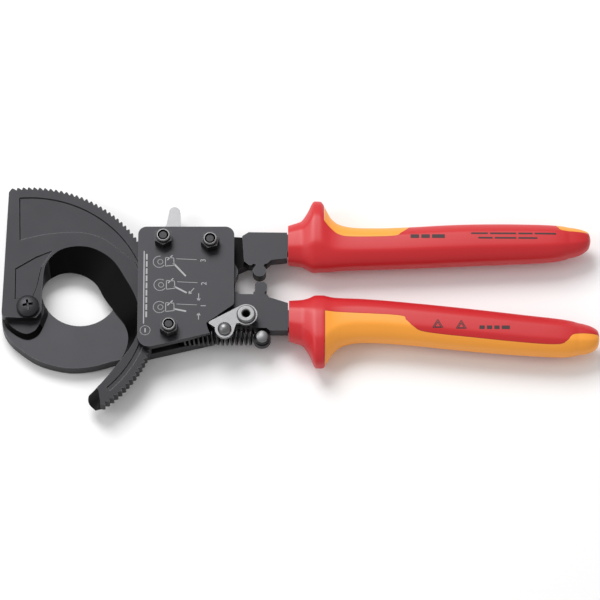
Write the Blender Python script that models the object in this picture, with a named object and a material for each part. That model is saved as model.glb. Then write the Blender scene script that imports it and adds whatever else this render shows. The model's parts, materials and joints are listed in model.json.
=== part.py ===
"""Ratchet cable cutter with two insulated grips, in metres, +Z up, lying on its back plate.

Shapes are drawn in millimetres round the blade's pivot: +X towards the handle ends,
+Y towards the fixed handle, z = 0 on the back of the frame. Every piece hangs under the
empty "tool", which puts the bottom centre of the whole object on the world's origin.
"""

import math
from dataclasses import dataclass

import bmesh
import bpy
from mathutils import Matrix, Vector

MM = 0.001

# Driving dimensions, in millimetres and degrees.
GAP = 0.3
FRAME_THICKNESS = 5.5
BLADE_THICKNESS = 5.5
COVER_THICKNESS = 3.0
RIM_RADIUS = 55.2
TOOTH_DEPTH = 1.1
TOOTH_PITCH = 2.4
RIM_FIRST_ANGLE = -55.2
TOOTH_COUNT = 64
NOTCH_RADIUS = 16.4
PIVOT_SCREW_RADIUS = 2.5
PIVOT_BUSH_WALL = 1.0
PIVOT_HEAD_RADIUS = 4.75
BOLT_RADIUS = 2.0
BOLT_HEAD_RADIUS = 3.8
BOLT_HEAD_HEIGHT = 2.0
BUSH_WALL = 1.0
HANDLE_BUSH_WALL = 2.0
NUT_ACROSS_FLATS = 7.0
NUT_HEX_HEIGHT = 4.0
NUT_COLLAR_HEIGHT = 1.4
PAWL_THICKNESS = (BLADE_THICKNESS - GAP) / 2
SPRING_RADIUS = 3.6
SPRING_WIRE = 1.1
SPRING_PITCH = 2.0
POST_HEAD_HEIGHT = 0.9
LEVER_THICKNESS = 1.6
EYELET_RADIUS = 4.0
EYELET_BORE = 1.5
KNOB_RADIUS = 2.9
TANG_LENGTH = 92.0
TANG_WIDTH = 8.0
SLEEVE_WALL = 1.4
FIXED_GRIP_LENGTH = 127.4
MOVING_GRIP_LENGTH = 130.0
BACK_RECESS = 0.2
SHOULDER_GAP = 0.4

# Levels, from the back of the frame to the nuts.
LAYER_BOTTOM = FRAME_THICKNESS + GAP
LAYER_TOP = LAYER_BOTTOM + BLADE_THICKNESS
COVER_BOTTOM = LAYER_TOP + GAP
COVER_TOP = COVER_BOTTOM + COVER_THICKNESS
NUT_BOTTOM = COVER_TOP + GAP
NUT_TOP = NUT_BOTTOM + NUT_HEX_HEIGHT + NUT_COLLAR_HEIGHT
HALF_LAYER_TOP = LAYER_BOTTOM + PAWL_THICKNESS
UPPER_PAWL_BOTTOM = HALF_LAYER_TOP + GAP
ARM_MIDDLE = (LAYER_BOTTOM + LAYER_TOP) / 2

# Places in the plane of the tool. The head follows the toothed rim.
HEAD_X = RIM_RADIUS - 9.2
BOLT_UPPER_LEFT = (HEAD_X + 10.6, 29.2)
BOLT_UPPER_RIGHT = (HEAD_X + 30.3, 27.6)
BOLT_LOWER = (HEAD_X + 13.2, -11.5)
DRIVE_PAWL_PIVOT = (HEAD_X + 20.5, 19.5)
EYELET = (HEAD_X + 45.5, -5.8)
KNOB = (HEAD_X + 36.5, -12.4)
SPRING_POST = (HEAD_X + 52.1, -13.2)
SPRING_AXIS_Y = -12.7
FIXED_COLLAR_X = HEAD_X + 63.0
MOVING_COLLAR_X = HEAD_X + 63.4

# Grip sections: distance from the collar as a share of the grip's length, distance of the
# centre line from the arm's middle line, half width and half depth.
FIXED_SECTIONS = [
    (0.0, 0.9, 8.5, 6.4), (0.045, 1.5, 9.9, 6.8), (0.066, 2.9, 12.8, 7.8),
    (0.082, 4.9, 15.9, 8.5), (0.112, 5.0, 15.6, 8.5), (0.142, 0.9, 11.4, 7.4),
    (0.176, -0.5, 9.5, 7.0), (0.25, -0.8, 8.8, 7.0), (0.39, -0.3, 8.8, 7.1),
    (0.54, 0.8, 9.0, 7.1), (0.68, 1.4, 8.8, 6.9), (0.8, 1.6, 8.4, 6.7),
    (0.9, 1.8, 7.8, 6.4), (0.95, 2.1, 6.7, 5.8), (0.985, 2.8, 4.6, 4.3),
    (1.0, 3.2, 2.2, 2.4),
]
MOVING_SECTIONS = [
    (0.0, -0.9, 8.7, 6.4), (0.045, -1.7, 9.9, 6.8), (0.066, -3.4, 12.4, 7.8),
    (0.082, -5.8, 16.0, 8.5), (0.112, -5.8, 16.0, 8.5), (0.142, -2.8, 12.0, 7.4),
    (0.176, -1.0, 9.9, 7.0), (0.25, -0.6, 9.2, 7.0), (0.39, -2.2, 9.0, 7.1),
    (0.54, -4.4, 9.1, 7.1), (0.68, -6.4, 8.9, 6.9), (0.8, -8.0, 8.5, 6.7),
    (0.9, -9.0, 8.1, 6.5), (0.95, -9.4, 7.2, 5.9), (0.985, -9.3, 5.0, 4.4),
    (1.0, -9.0, 2.4, 2.4),
]
FIXED_ARM_Y = 28.4
MOVING_ARM_Y = -4.5
SECTION_POWER = 2.5
SECTION_SIDES = 18


@dataclass(frozen=True)
class GripPlan:
    """One grip: its sections, the place of its collar, its middle line and its length."""

    sections: list
    collar_x: float
    middle_y: float
    length: float

    def section(self, distance):
        """(centre offset, half width, half depth) at a distance from the collar."""
        share = min(max(distance / self.length, 0.0), 1.0)
        for before, after in zip(self.sections, self.sections[1:]):
            if share <= after[0]:
                blend = (share - before[0]) / (after[0] - before[0])
                return tuple(a + (b - a) * blend for a, b in zip(before[1:], after[1:]))
        return self.sections[-1][1:]


FIXED_GRIP = GripPlan(FIXED_SECTIONS, FIXED_COLLAR_X, FIXED_ARM_Y, FIXED_GRIP_LENGTH)
MOVING_GRIP = GripPlan(MOVING_SECTIONS, MOVING_COLLAR_X, MOVING_ARM_Y, MOVING_GRIP_LENGTH)


def clear_scene():
    """Removes the objects that the file starts with."""
    for obj in list(bpy.data.objects):
        bpy.data.objects.remove(obj, do_unlink=True)


# Materials


def material(name, colour, roughness, metallic):
    """One Principled material for one piece."""
    made = bpy.data.materials.new(name)
    made.use_nodes = True
    shader = made.node_tree.nodes["Principled BSDF"]
    shader.inputs["Base Color"].default_value = (*colour, 1.0)
    shader.inputs["Roughness"].default_value = roughness
    shader.inputs["Metallic"].default_value = metallic
    made.diffuse_color = (*colour, 1.0)
    return made


def burnished(name):
    return material(name, (0.085, 0.085, 0.095), 0.45, 0.9)


def black_oxide(name):
    return material(name, (0.02, 0.02, 0.022), 0.4, 0.8)


def bright_zinc(name):
    return material(name, (0.62, 0.62, 0.60), 0.28, 1.0)


def red_plastic(name):
    return material(name, (0.60, 0.02, 0.025), 0.35, 0.0)


def yellow_plastic(name):
    return material(name, (0.95, 0.42, 0.06), 0.45, 0.0)


# Outlines: lists of (x, y), counter-clockwise


def polar(radius, degrees, centre=(0.0, 0.0)):
    """The point at a radius and an angle round a centre."""
    angle = math.radians(degrees)
    return (centre[0] + radius * math.cos(angle), centre[1] + radius * math.sin(angle))


def arc(centre, radius, start, end, step=7.0):
    """Points along an arc from start to end degrees, both ends included."""
    count = max(2, math.ceil(abs(end - start) / step))
    return [polar(radius, start + (end - start) * i / count, centre) for i in range(count + 1)]


def spline(points, steps=4):
    """A smooth open curve through the points."""
    padded = [points[0], *points, points[-1]]
    curve = []
    for p0, p1, p2, p3 in zip(padded, padded[1:], padded[2:], padded[3:]):
        for i in range(steps):
            t = i / steps
            curve.append(tuple(
                0.5 * (2 * b + (c - a) * t + (2 * a - 5 * b + 4 * c - d) * t * t
                       + (3 * b - a - 3 * c + d) * t ** 3)
                for a, b, c, d in zip(p0, p1, p2, p3)
            ))
    return [*curve, points[-1]]


def rounded(corners, step=15.0):
    """A closed outline whose corners (x, y, radius) are rounded with arcs."""
    outline = []
    for i, (x, y, radius) in enumerate(corners):
        corner = Vector((x, y))
        before = Vector(corners[i - 1][:2]) - corner
        after = Vector(corners[(i + 1) % len(corners)][:2]) - corner
        if radius <= 0:
            outline.append((x, y))
            continue
        half = before.angle(after) / 2
        reach = min(radius / math.tan(half), 0.49 * before.length, 0.49 * after.length)
        radius = reach * math.tan(half)
        middle = (before.normalized() + after.normalized()).normalized()
        centre = corner + middle * radius / math.sin(half)
        first = corner + before.normalized() * reach - centre
        turn = first.angle_signed(corner + after.normalized() * reach - centre)
        count = max(2, math.ceil(abs(math.degrees(turn)) / step))
        for k in range(count + 1):
            spoke = Matrix.Rotation(-turn * k / count, 2) @ first
            outline.append(tuple(centre + spoke))
    return outline


def without_repeats(points):
    """The closed outline with points that coincide taken once."""
    kept = []
    for point in points:
        if not kept or math.dist(point, kept[-1]) > 0.02:
            kept.append(point)
    if math.dist(kept[0], kept[-1]) <= 0.02:
        kept.pop()
    return kept


# Meshes and objects


def add_object(name, mesh, finish, parent):
    """Links a piece under its parent with the parent's place taken out."""
    obj = bpy.data.objects.new(name, mesh)
    bpy.context.scene.collection.objects.link(obj)
    if finish:
        mesh.materials.append(finish)
    obj.parent = parent
    obj.matrix_parent_inverse = world_matrix(parent).inverted()
    return obj


def world_matrix(empty):
    """The place of an empty under the tool, read without waiting for an update."""
    matrix = Matrix.Translation(empty.location)
    return matrix if empty.parent is None else world_matrix(empty.parent) @ matrix


def axis_empty(name, place, parent):
    """An empty on a joint's axis; its children turn about it."""
    empty = bpy.data.objects.new(name, None)
    bpy.context.scene.collection.objects.link(empty)
    empty.parent = parent
    offset = world_matrix(parent).translation
    empty.location = Vector((place[0] * MM, place[1] * MM, 0.0)) - offset
    return empty


def mesh_from(name, bm, smooth=False):
    """Turns a bmesh in millimetres into a mesh in metres, its faces pointing out."""
    bmesh.ops.scale(bm, vec=(MM, MM, MM), verts=bm.verts)
    bmesh.ops.recalc_face_normals(bm, faces=bm.faces)
    mesh = bpy.data.meshes.new(name)
    bm.to_mesh(mesh)
    bm.free()
    if smooth:
        mesh.shade_smooth()
        mesh.set_sharp_from_angle(angle=math.radians(35))
    return mesh


def slab_mesh(name, lower, upper, bottom, top):
    """A plate between two outlines of equal length at two levels."""
    bm = bmesh.new()
    low = [bm.verts.new((x, y, bottom)) for x, y in lower]
    high = [bm.verts.new((x, y, top)) for x, y in upper]
    bm.faces.new(reversed(low))
    bm.faces.new(high)
    walls = []
    for i in range(len(low)):
        j = (i + 1) % len(low)
        walls.append(bm.faces.new((low[i], low[j], high[j], high[i])))
    if lower != upper:
        bmesh.ops.triangulate(bm, faces=walls)
    return mesh_from(name, bm)


def plate(name, outline, bottom, top, finish, parent):
    """A flat plate with straight walls."""
    outline = without_repeats(outline)
    return add_object(name, slab_mesh(name, outline, outline, bottom, top), finish, parent)


def turned(name, profile, centre, finish, parent, sides=32):
    """A turned piece: a closed profile of (radius, z) spun about a vertical axis."""
    bm = bmesh.new()
    rings = []
    for i in range(sides):
        ring = [bm.verts.new((*polar(radius, 360 * i / sides, centre), z)) for radius, z in profile]
        rings.append(ring)
    for ring, following in zip(rings, rings[1:] + rings[:1]):
        for a in range(len(profile)):
            b = (a + 1) % len(profile)
            bm.faces.new((ring[a], ring[b], following[b], following[a]))
    bmesh.ops.remove_doubles(bm, verts=bm.verts, dist=1e-5)
    return add_object(name, mesh_from(name, bm, smooth=True), finish, parent)


def tube(name, centre, inner, outer, bottom, top, finish, parent, sides=32):
    """A plain sleeve with a bore."""
    profile = [(inner, bottom), (outer, bottom), (outer, top), (inner, top)]
    return turned(name, profile, centre, finish, parent, sides)


def rod(name, centre, radius, bottom, top, finish, parent, sides=32):
    """A plain round rod along z."""
    return plate(name, arc(centre, radius, 0, 360, 360 / sides), bottom, top, finish, parent)


def boolean(target, other, operation):
    """Joins or cuts with another object, which stays as a hidden helper."""
    other.hide_render = True
    other.display_type = "WIRE"
    modifier = target.modifiers.new(other.name, "BOOLEAN")
    modifier.operation = operation
    modifier.solver = "EXACT"
    modifier.object = other


def cut(target, *others):
    for other in others:
        boolean(target, other, "DIFFERENCE")


def join(target, *others):
    for other in others:
        boolean(target, other, "UNION")


def bore(target, centre, radius, bottom, top, sides=32):
    """Drills a round hole between two levels."""
    name = f"{target.name}_bore_{len(target.modifiers)}"
    cut(target, rod(name, centre, radius, bottom, top, None, target.parent, sides))


def wire_mesh(name, path, radius, sides=6):
    """A wire of round section along a path of points, with flat ends."""
    bm = bmesh.new()
    rings = []
    points = [Vector(point) for point in path]
    side = None
    for i, point in enumerate(points):
        along = (points[min(i + 1, len(points) - 1)] - points[max(i - 1, 0)]).normalized()
        if side is None:
            side = along.orthogonal().normalized()
        side = (side - along * side.dot(along)).normalized()
        across = along.cross(side)
        ring = []
        for k in range(sides):
            angle = 2 * math.pi * k / sides
            offset = side * math.cos(angle) + across * math.sin(angle)
            ring.append(bm.verts.new(point + radius * offset))
        rings.append(ring)
    for ring, following in zip(rings, rings[1:]):
        for k in range(sides):
            j = (k + 1) % sides
            bm.faces.new((ring[k], ring[j], following[j], following[k]))
    bm.faces.new(reversed(rings[0]))
    bm.faces.new(rings[-1])
    return mesh_from(name, bm, smooth=True)


# Frame: fixed jaw, back plate, fixed arm and tang


def tang_sides(plan, extra):
    """The tang's lower and upper edges from the arm's shoulder, grown by a clearance."""
    lower, upper = [], []
    stations = 6
    half = TANG_WIDTH / 2 + extra
    for i in range(stations + 1):
        distance = TANG_LENGTH * i / stations - SHOULDER_GAP
        x = plan.collar_x + distance
        y = plan.middle_y + plan.section(distance)[0]
        lower.append((x, y - half))
        upper.append((x, y + half))
    for side in (lower, upper):
        side[0] = (side[0][0] - extra, side[0][1])
        side[-1] = (side[-1][0] + extra, side[-1][1])
    return lower, upper


def head(x, y):
    """A point of the head, x from the head's left edge."""
    return (HEAD_X + x, y)


def frame_and_jaw(tool):
    """The forging: jaw, back plate and arm in one piece."""
    finish = burnished("frame_steel")
    jaw_edge = spline([
        (-11.0, 0.0), (-10.7, -6.1), (-8.0, -12.0), (-2.0, -17.8), (4.7, -22.2), (12.8, -24.8),
        (20.1, -25.6), (28.2, -24.6), head(-8.4, -21.9), head(4.6, -19.4),
    ])
    right_side = [head(31.5, -12.8), head(35.5, -10.5), head(40.7, -3.0), head(40.7, 17.5),
                  head(42.0, 19.8), head(46.6, 22.1), head(50.0, 22.6), head(50.0, 34.2),
                  head(40.0, 34.8)]
    top = rounded([(*head(36.9, 35.5), 1.0), (*head(0.3, 35.5), 4.0), (*head(0.3, 22.0), 6.0)])
    notch_centre = (NOTCH_RADIUS + 5.3, 10.1)
    notch = spline([head(0.3, 20.0), head(-3.0, 12.0), head(-8.5, 5.5)])
    notch += arc(notch_centre, NOTCH_RADIUS, -33, -180, 7.0)
    hub = [(4.6, 13.2), *arc((0, 0), 11.0, 75, 178, 8.0)]
    top_run = top[:len(top) * 2 // 3]
    outline = without_repeats(jaw_edge + right_side + top_run + notch + hub)
    frame = plate("frame_and_jaw", outline, 0.0, FRAME_THICKNESS, finish, tool)

    lower, upper = tang_sides(FIXED_GRIP, 0.0)
    arm_outline = [head(46.6, 19.2), *arc(head(48.7, 18.9), 0.9, 160, 20, 35)]
    arm_outline += arc(head(51.0, 16.8), 2.8, 165, 375, 20)
    arm_outline += arc(head(53.6, 19.0), 0.9, 200, 60, 35)
    shoulder = FIXED_COLLAR_X - SHOULDER_GAP
    arm_outline += [head(55.8, 21.6), (shoulder, 22.4), *lower, *reversed(upper)]
    arm_outline += [(shoulder, 34.2), head(46.4, 34.4), head(43.7, 32.6), head(44.5, 21.0)]
    arm = plate("fixed_arm_blank", arm_outline, LAYER_BOTTOM, LAYER_TOP, None, tool)
    low_block = [head(44.2, 21.6), head(47.5, 22.4), head(47.5, 33.6), head(44.0, 32.8)]
    high_block = [head(44.2, 21.2), head(55.5, 22.6), head(55.5, 33.9), head(44.0, 32.8)]
    block_mesh = slab_mesh("joggle", low_block, high_block, FRAME_THICKNESS - 3.5, LAYER_TOP - 2.0)
    joggle = add_object("joggle", block_mesh, None, tool)
    join(frame, joggle, arm)

    trough = add_object("frame_trough", trough_mesh("frame_trough"), None, tool)
    cut(frame, trough)
    bore(frame, (0, 0), pivot_bush_radius() + GAP, -1.0, FRAME_THICKNESS + 1.0)
    bore(frame, (0, 0), pivot_nut_radius() + GAP, -1.0, pivot_nut_top() + GAP)
    for place in (BOLT_UPPER_LEFT, BOLT_UPPER_RIGHT, BOLT_LOWER):
        bore(frame, place, BOLT_RADIUS + GAP, -1.0, FRAME_THICKNESS + 1.0, 24)
        bore(frame, place, BOLT_HEAD_RADIUS + GAP, -1.0, bolt_head_top() + GAP, 24)
    return frame


def trough_mesh(name):
    """The round groove that clears the return spring, along X."""
    bm = bmesh.new()
    length = HEAD_X + 52.0 - (HEAD_X + 16.8)
    turn = Matrix.Rotation(math.pi / 2, 4, "Y")
    middle = Matrix.Translation((HEAD_X + 16.8 + length / 2, SPRING_AXIS_Y, ARM_MIDDLE))
    bmesh.ops.create_cone(
        bm, cap_ends=True, segments=28, radius1=SPRING_RADIUS + 0.5, radius2=SPRING_RADIUS + 0.5,
        depth=length, matrix=middle @ turn)
    return mesh_from(name, bm)


def pivot_bush_radius():
    return PIVOT_SCREW_RADIUS + GAP + PIVOT_BUSH_WALL


def pivot_nut_radius():
    return pivot_bush_radius() + 1.0


def pivot_nut_top():
    return BACK_RECESS + 2.3


def bolt_head_top():
    return BACK_RECESS + BOLT_HEAD_HEIGHT


# Blade and its pivot


def rim_teeth():
    """The toothed rim, counter-clockwise: steep flank ahead, slanted flank behind."""
    points = []
    for i in range(TOOTH_COUNT):
        root = RIM_FIRST_ANGLE + i * TOOTH_PITCH
        points.append(polar(RIM_RADIUS - TOOTH_DEPTH, root))
        points.append(polar(RIM_RADIUS, root + 0.62 * TOOTH_PITCH))
        points.append(polar(RIM_RADIUS, root + 0.82 * TOOTH_PITCH))
    return points


def moving_blade(axis):
    """The toothed sector with its ground bevel, stepped hub and tail."""
    rim = rim_teeth()
    tail = RIM_RADIUS - 1.2
    cutting_edge = spline([
        (5.6, 8.0), (6.0, 10.8), (8.4, 14.6), (14.5, 17.7), (21.5, 17.2), (27.9, 13.1),
        (32.0, 6.0), (36.5, -0.5), (40.6, -6.2), (42.0, -12.0), (40.6, -18.5),
        (36.0, -27.0), (30.5, -33.8), polar(tail - 8.3, -53.0), polar(tail - 7.5, -56.4),
        polar(tail - 4.5, -58.2), polar(tail - 0.6, -57.4),
    ])
    bevel_edge = spline([
        (5.6, 8.0), (6.0, 10.9), (7.4, 20.0), (14.0, 26.6), (24.8, 27.6), (34.6, 22.2),
        (41.0, 12.6), (45.2, 4.2), (47.0, -3.8), (46.2, -11.5), (42.8, -19.0),
        (37.4, -26.6), (31.8, -34.0), polar(tail - 6.9, -51.2), polar(tail - 5.2, -51.9),
        polar(tail - 3.0, -53.3), polar(tail - 0.6, -54.6),
    ])
    corner = polar(RIM_RADIUS - 1.6, 99.6)
    left_side = [corner, (-9.0, 50.2), (-11.0, -2.3), *arc((-8.6, -2.3), 2.4, 190, 260, 20)]
    under_hub = [(-4.0, -4.9), (3.5, -4.9), (5.6, -2.0)]
    lower = rim + left_side + under_hub + cutting_edge
    upper = rim + left_side + under_hub + bevel_edge
    mesh = slab_mesh("moving_blade", lower, upper, LAYER_BOTTOM, LAYER_TOP)
    blade = add_object("moving_blade", mesh, burnished("blade_steel"), axis)
    step_outline = spline([
        (8.0, 1.1), (8.2, -1.2), (7.0, -4.9), (5.3, -9.0), (3.4, -11.3), (0.0, -12.6),
        (-3.6, -11.5), (-7.2, -8.9), (-9.6, -6.0), (-10.8, -1.0),
    ], 3)
    step_outline += [(-8.0, 6.0), (4.8, 6.0)]
    step_upper = [(x * 0.86 - 0.5, y * 0.86 + 0.1) for x, y in step_outline]
    step_mesh = slab_mesh("hub_step", step_outline, step_upper, LAYER_BOTTOM, LAYER_BOTTOM + 1.9)
    join(blade, add_object("hub_step", step_mesh, None, axis))
    bore(blade, (0, 0), pivot_bush_radius() + GAP, LAYER_BOTTOM - 1.0, LAYER_TOP + 1.0)
    panel = rim_panel_outline()
    cut(blade, plate("blade_panel", panel, LAYER_TOP - 0.5, LAYER_TOP + 1.0, None, axis))
    hub_panel = [(-5.2, 4.0), (1.8, 5.2), (3.2, 9.0), (5.2, 18.6), (9.5, 25.6), (3.0, 22.6),
                 (-5.2, 17.4)]
    cut(blade, plate("hub_panel", hub_panel, LAYER_TOP - 0.5, LAYER_TOP + 1.0, None, axis))
    return blade


def rim_panel_outline():
    """The recessed panel that follows the rim, ended by a straight left edge."""
    outer = arc((0, 0), RIM_RADIUS - 5.0, 5, 94.6, 6.0)
    inner = spline([(-3.6, 31.2), (7.9, 33.9), (21.5, 34.6), (31.5, 31.6), (40.0, 24.8),
                    (45.5, 19.6), (48.4, 8.0)], 3)
    return outer + inner


def blade_pivot(tool):
    """Pan head screw, bearing bush and flush round nut."""
    steel = black_oxide("pivot_steel")
    head_bottom = LAYER_TOP + GAP
    shaft_end = BACK_RECESS
    dome = [(0.0, shaft_end), (PIVOT_SCREW_RADIUS, shaft_end), (PIVOT_SCREW_RADIUS, head_bottom),
            (PIVOT_HEAD_RADIUS, head_bottom), (PIVOT_HEAD_RADIUS, head_bottom + 1.1),
            (PIVOT_HEAD_RADIUS - 0.45, head_bottom + 1.75),
            (PIVOT_HEAD_RADIUS - 1.6, head_bottom + 2.25), (1.6, head_bottom + 2.55),
            (0.0, head_bottom + 2.6)]
    screw = turned("pivot_screw", dome, (0, 0), steel, tool, 36)
    for i in range(2):
        slot_mesh = slab_mesh(
            "cross_slot", slot_outline(5.0, 1.25, 10 + 90 * i), slot_outline(5.4, 1.4, 10 + 90 * i),
            head_bottom + 1.0, head_bottom + 3.2)
        cut(screw, add_object(f"cross_slot_{i}", slot_mesh, None, tool))
    tube("pivot_bush", (0, 0), PIVOT_SCREW_RADIUS + GAP, pivot_bush_radius(),
         pivot_nut_top() + GAP, LAYER_TOP, bright_zinc("pivot_bush_steel"), tool)
    tube("pivot_nut", (0, 0), PIVOT_SCREW_RADIUS + GAP, pivot_nut_radius(), BACK_RECESS,
         pivot_nut_top(), black_oxide("pivot_nut_steel"), tool)
    return screw


def slot_outline(length, width, degrees):
    """A narrow rectangle round the pivot, turned by an angle."""
    turn = Matrix.Rotation(math.radians(degrees), 2)
    corners = [(-1, -1), (1, -1), (1, 1), (-1, 1)]
    return [tuple(turn @ Vector((x * length / 2, y * width / 2))) for x, y in corners]


# Cover, bolts, nuts and bushes


def front_cover(tool):
    """The cover plate, with a notch on an arc round the lock lever's eyelet."""
    notch = arc(EYELET, 16.9, 206.5, 190.0, 4.0)
    corners = [(*head(0.0, -21.0), 5.0), (*notch[0], 0)]
    corners += [(*point, 0) for point in notch[1:]]
    corners += [(*head(40.4, -0.2), 1.5), (*head(40.4, 35.5), 3.8), (*head(0.0, 35.5), 3.6)]
    finish = burnished("cover_steel")
    cover = plate("front_cover", rounded(corners, 12), COVER_BOTTOM, COVER_TOP, finish, tool)
    cut(cover, add_object("cover_trough", trough_mesh("cover_trough"), None, tool))
    for place in (BOLT_UPPER_LEFT, BOLT_UPPER_RIGHT, BOLT_LOWER):
        bore(cover, place, BOLT_RADIUS + GAP, COVER_BOTTOM - 1.0, COVER_TOP + 1.0, 24)
    return cover


def cover_fastener(tool, place, suffix, turn):
    """A flush-headed bolt through the frame and the lock nut on its end."""
    profile = [(0.0, BACK_RECESS), (BOLT_HEAD_RADIUS, BACK_RECESS),
               (BOLT_HEAD_RADIUS, bolt_head_top()), (BOLT_RADIUS, bolt_head_top()),
               (BOLT_RADIUS, NUT_TOP - 0.7), (BOLT_RADIUS - 0.4, NUT_TOP - 0.3),
               (0.0, NUT_TOP - 0.3)]
    turned(f"cover_bolt_{suffix}", profile, place, black_oxide(f"bolt_steel_{suffix}"), tool, 24)
    hex_radius = NUT_ACROSS_FLATS / math.sqrt(3)
    finish = black_oxide(f"nut_steel_{suffix}")
    hexagon = arc(place, hex_radius, turn, turn + 360, 60)
    nut = plate(f"cover_nut_{suffix}", hexagon, NUT_BOTTOM, NUT_BOTTOM + NUT_HEX_HEIGHT, finish, tool)
    collar_radius = NUT_ACROSS_FLATS / 2 - 0.55
    profile = [(0.0, NUT_BOTTOM + 1.0), (collar_radius, NUT_BOTTOM + 1.0),
               (collar_radius, NUT_TOP - 0.4), (collar_radius - 0.4, NUT_TOP), (0.0, NUT_TOP)]
    join(nut, turned(f"nut_collar_{suffix}", profile, place, None, tool, 24))
    bore(nut, place, BOLT_RADIUS + GAP, NUT_BOTTOM - 1.0, NUT_TOP + 1.0, 24)


def spacers(tool):
    """Bushes between frame and cover that the bolts pass through."""
    bore_radius = BOLT_RADIUS + GAP
    steel = bright_zinc("spacer_steel")
    for name, place, wall in (
        ("release_lever_bush", BOLT_UPPER_LEFT, BUSH_WALL),
        ("handle_bush", BOLT_UPPER_RIGHT, HANDLE_BUSH_WALL),
        ("lower_spacer", BOLT_LOWER, BUSH_WALL),
    ):
        tube(name, place, bore_radius, bore_radius + wall, LAYER_BOTTOM, LAYER_TOP, steel, tool, 28)


# Release lever and drive pawl


def release_lever(axis, tool):
    """Holding pawl below its pivot, bright thumb tongue above it."""
    x, y = BOLT_UPPER_LEFT
    tip = polar(RIM_RADIUS + 0.5, 18.9)
    heel = polar(RIM_RADIUS + 0.6, 21.6)
    outline = [tip, (x - 1.0, y - 12.0), (x + 2.6, y - 6.5), *arc(BOLT_UPPER_LEFT, 4.6, -40, 35, 15)]
    outline += [(x + 7.2, y + 8.6), (x + 7.0, y + 15.2), *arc((x + 4.5, y + 15.9), 2.3, 20, 160, 20)]
    outline += [(x + 1.2, y + 10.3), (x - 1.6, y + 5.0), *arc(BOLT_UPPER_LEFT, 4.6, 125, 215, 15)]
    outline += [heel]
    lever = plate("release_lever", without_repeats(outline), LAYER_BOTTOM, HALF_LAYER_TOP,
                  bright_zinc("release_lever_zinc"), axis)
    bore(lever, BOLT_UPPER_LEFT, BOLT_RADIUS + GAP + BUSH_WALL + GAP, 0.0, LAYER_TOP, 28)
    pin = (x - 8.2, y + 4.4)
    rod("release_spring_pin", pin, 1.0, LAYER_BOTTOM, LAYER_TOP - 1.0,
        bright_zinc("spring_pin_zinc"), tool, 16)
    coil = coil_path((pin[0] + 1.4, pin[1]), (x - 4.0, pin[1]), LAYER_BOTTOM + 1.5, 0.95, 3, 10)
    add_object("release_lever_spring", wire_mesh("release_lever_spring", coil, 0.3, 5),
               burnished("lever_spring_steel"), tool)


def coil_path(start, end, level, radius, turns, points_per_turn):
    """A helix along a straight line in the plane of the tool."""
    along = Vector((end[0] - start[0], end[1] - start[1]))
    side = Vector((-along.y, along.x)).normalized()
    count = turns * points_per_turn
    path = []
    for i in range(count + 1):
        angle = 2 * math.pi * i / points_per_turn
        shift = side * (radius * math.cos(angle))
        place = Vector(start) + along * (i / count) + shift
        path.append((place.x, place.y, level + radius * math.sin(angle)))
    return path


def drive_pawl(axis, arm_axis):
    """The pawl that pushes the teeth, its pin and its small spring."""
    tip = polar(RIM_RADIUS + 0.45, 5.6)
    reach = Vector(tip) - Vector(DRIVE_PAWL_PIVOT)
    along = reach.normalized()
    across = Vector((-along.y, along.x))

    def place(u, v):
        point = Vector(DRIVE_PAWL_PIVOT) + along * u + across * v
        return (point.x, point.y)

    length = reach.length
    heading = math.degrees(math.atan2(along.y, along.x))
    outline = [place(6.0, -2.8), tip, place(length - 0.6, 2.0), place(6.0, 2.8)]
    outline += arc(DRIVE_PAWL_PIVOT, 3.4, heading + 60, heading + 300, 15)
    pawl = plate("drive_pawl", outline, UPPER_PAWL_BOTTOM, LAYER_TOP, burnished("pawl_steel"), axis)
    bore(pawl, DRIVE_PAWL_PIVOT, 1.8, 0.0, COVER_TOP, 20)
    rod("drive_pawl_pin", DRIVE_PAWL_PIVOT, 1.5, LAYER_BOTTOM + 0.2, LAYER_TOP - 0.2,
        bright_zinc("pawl_pin_steel"), arm_axis, 20)
    start = place(8.0, 3.6)
    end = (HEAD_X + 24.7, start[1] - 0.6)
    level = (UPPER_PAWL_BOTTOM + LAYER_TOP) / 2
    coil = coil_path(start, end, level, 0.85, 5, 10)
    add_object("drive_pawl_spring", wire_mesh("drive_pawl_spring", coil, 0.25, 5),
               burnished("pawl_spring_steel"), arm_axis)


# Moving arm


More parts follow.
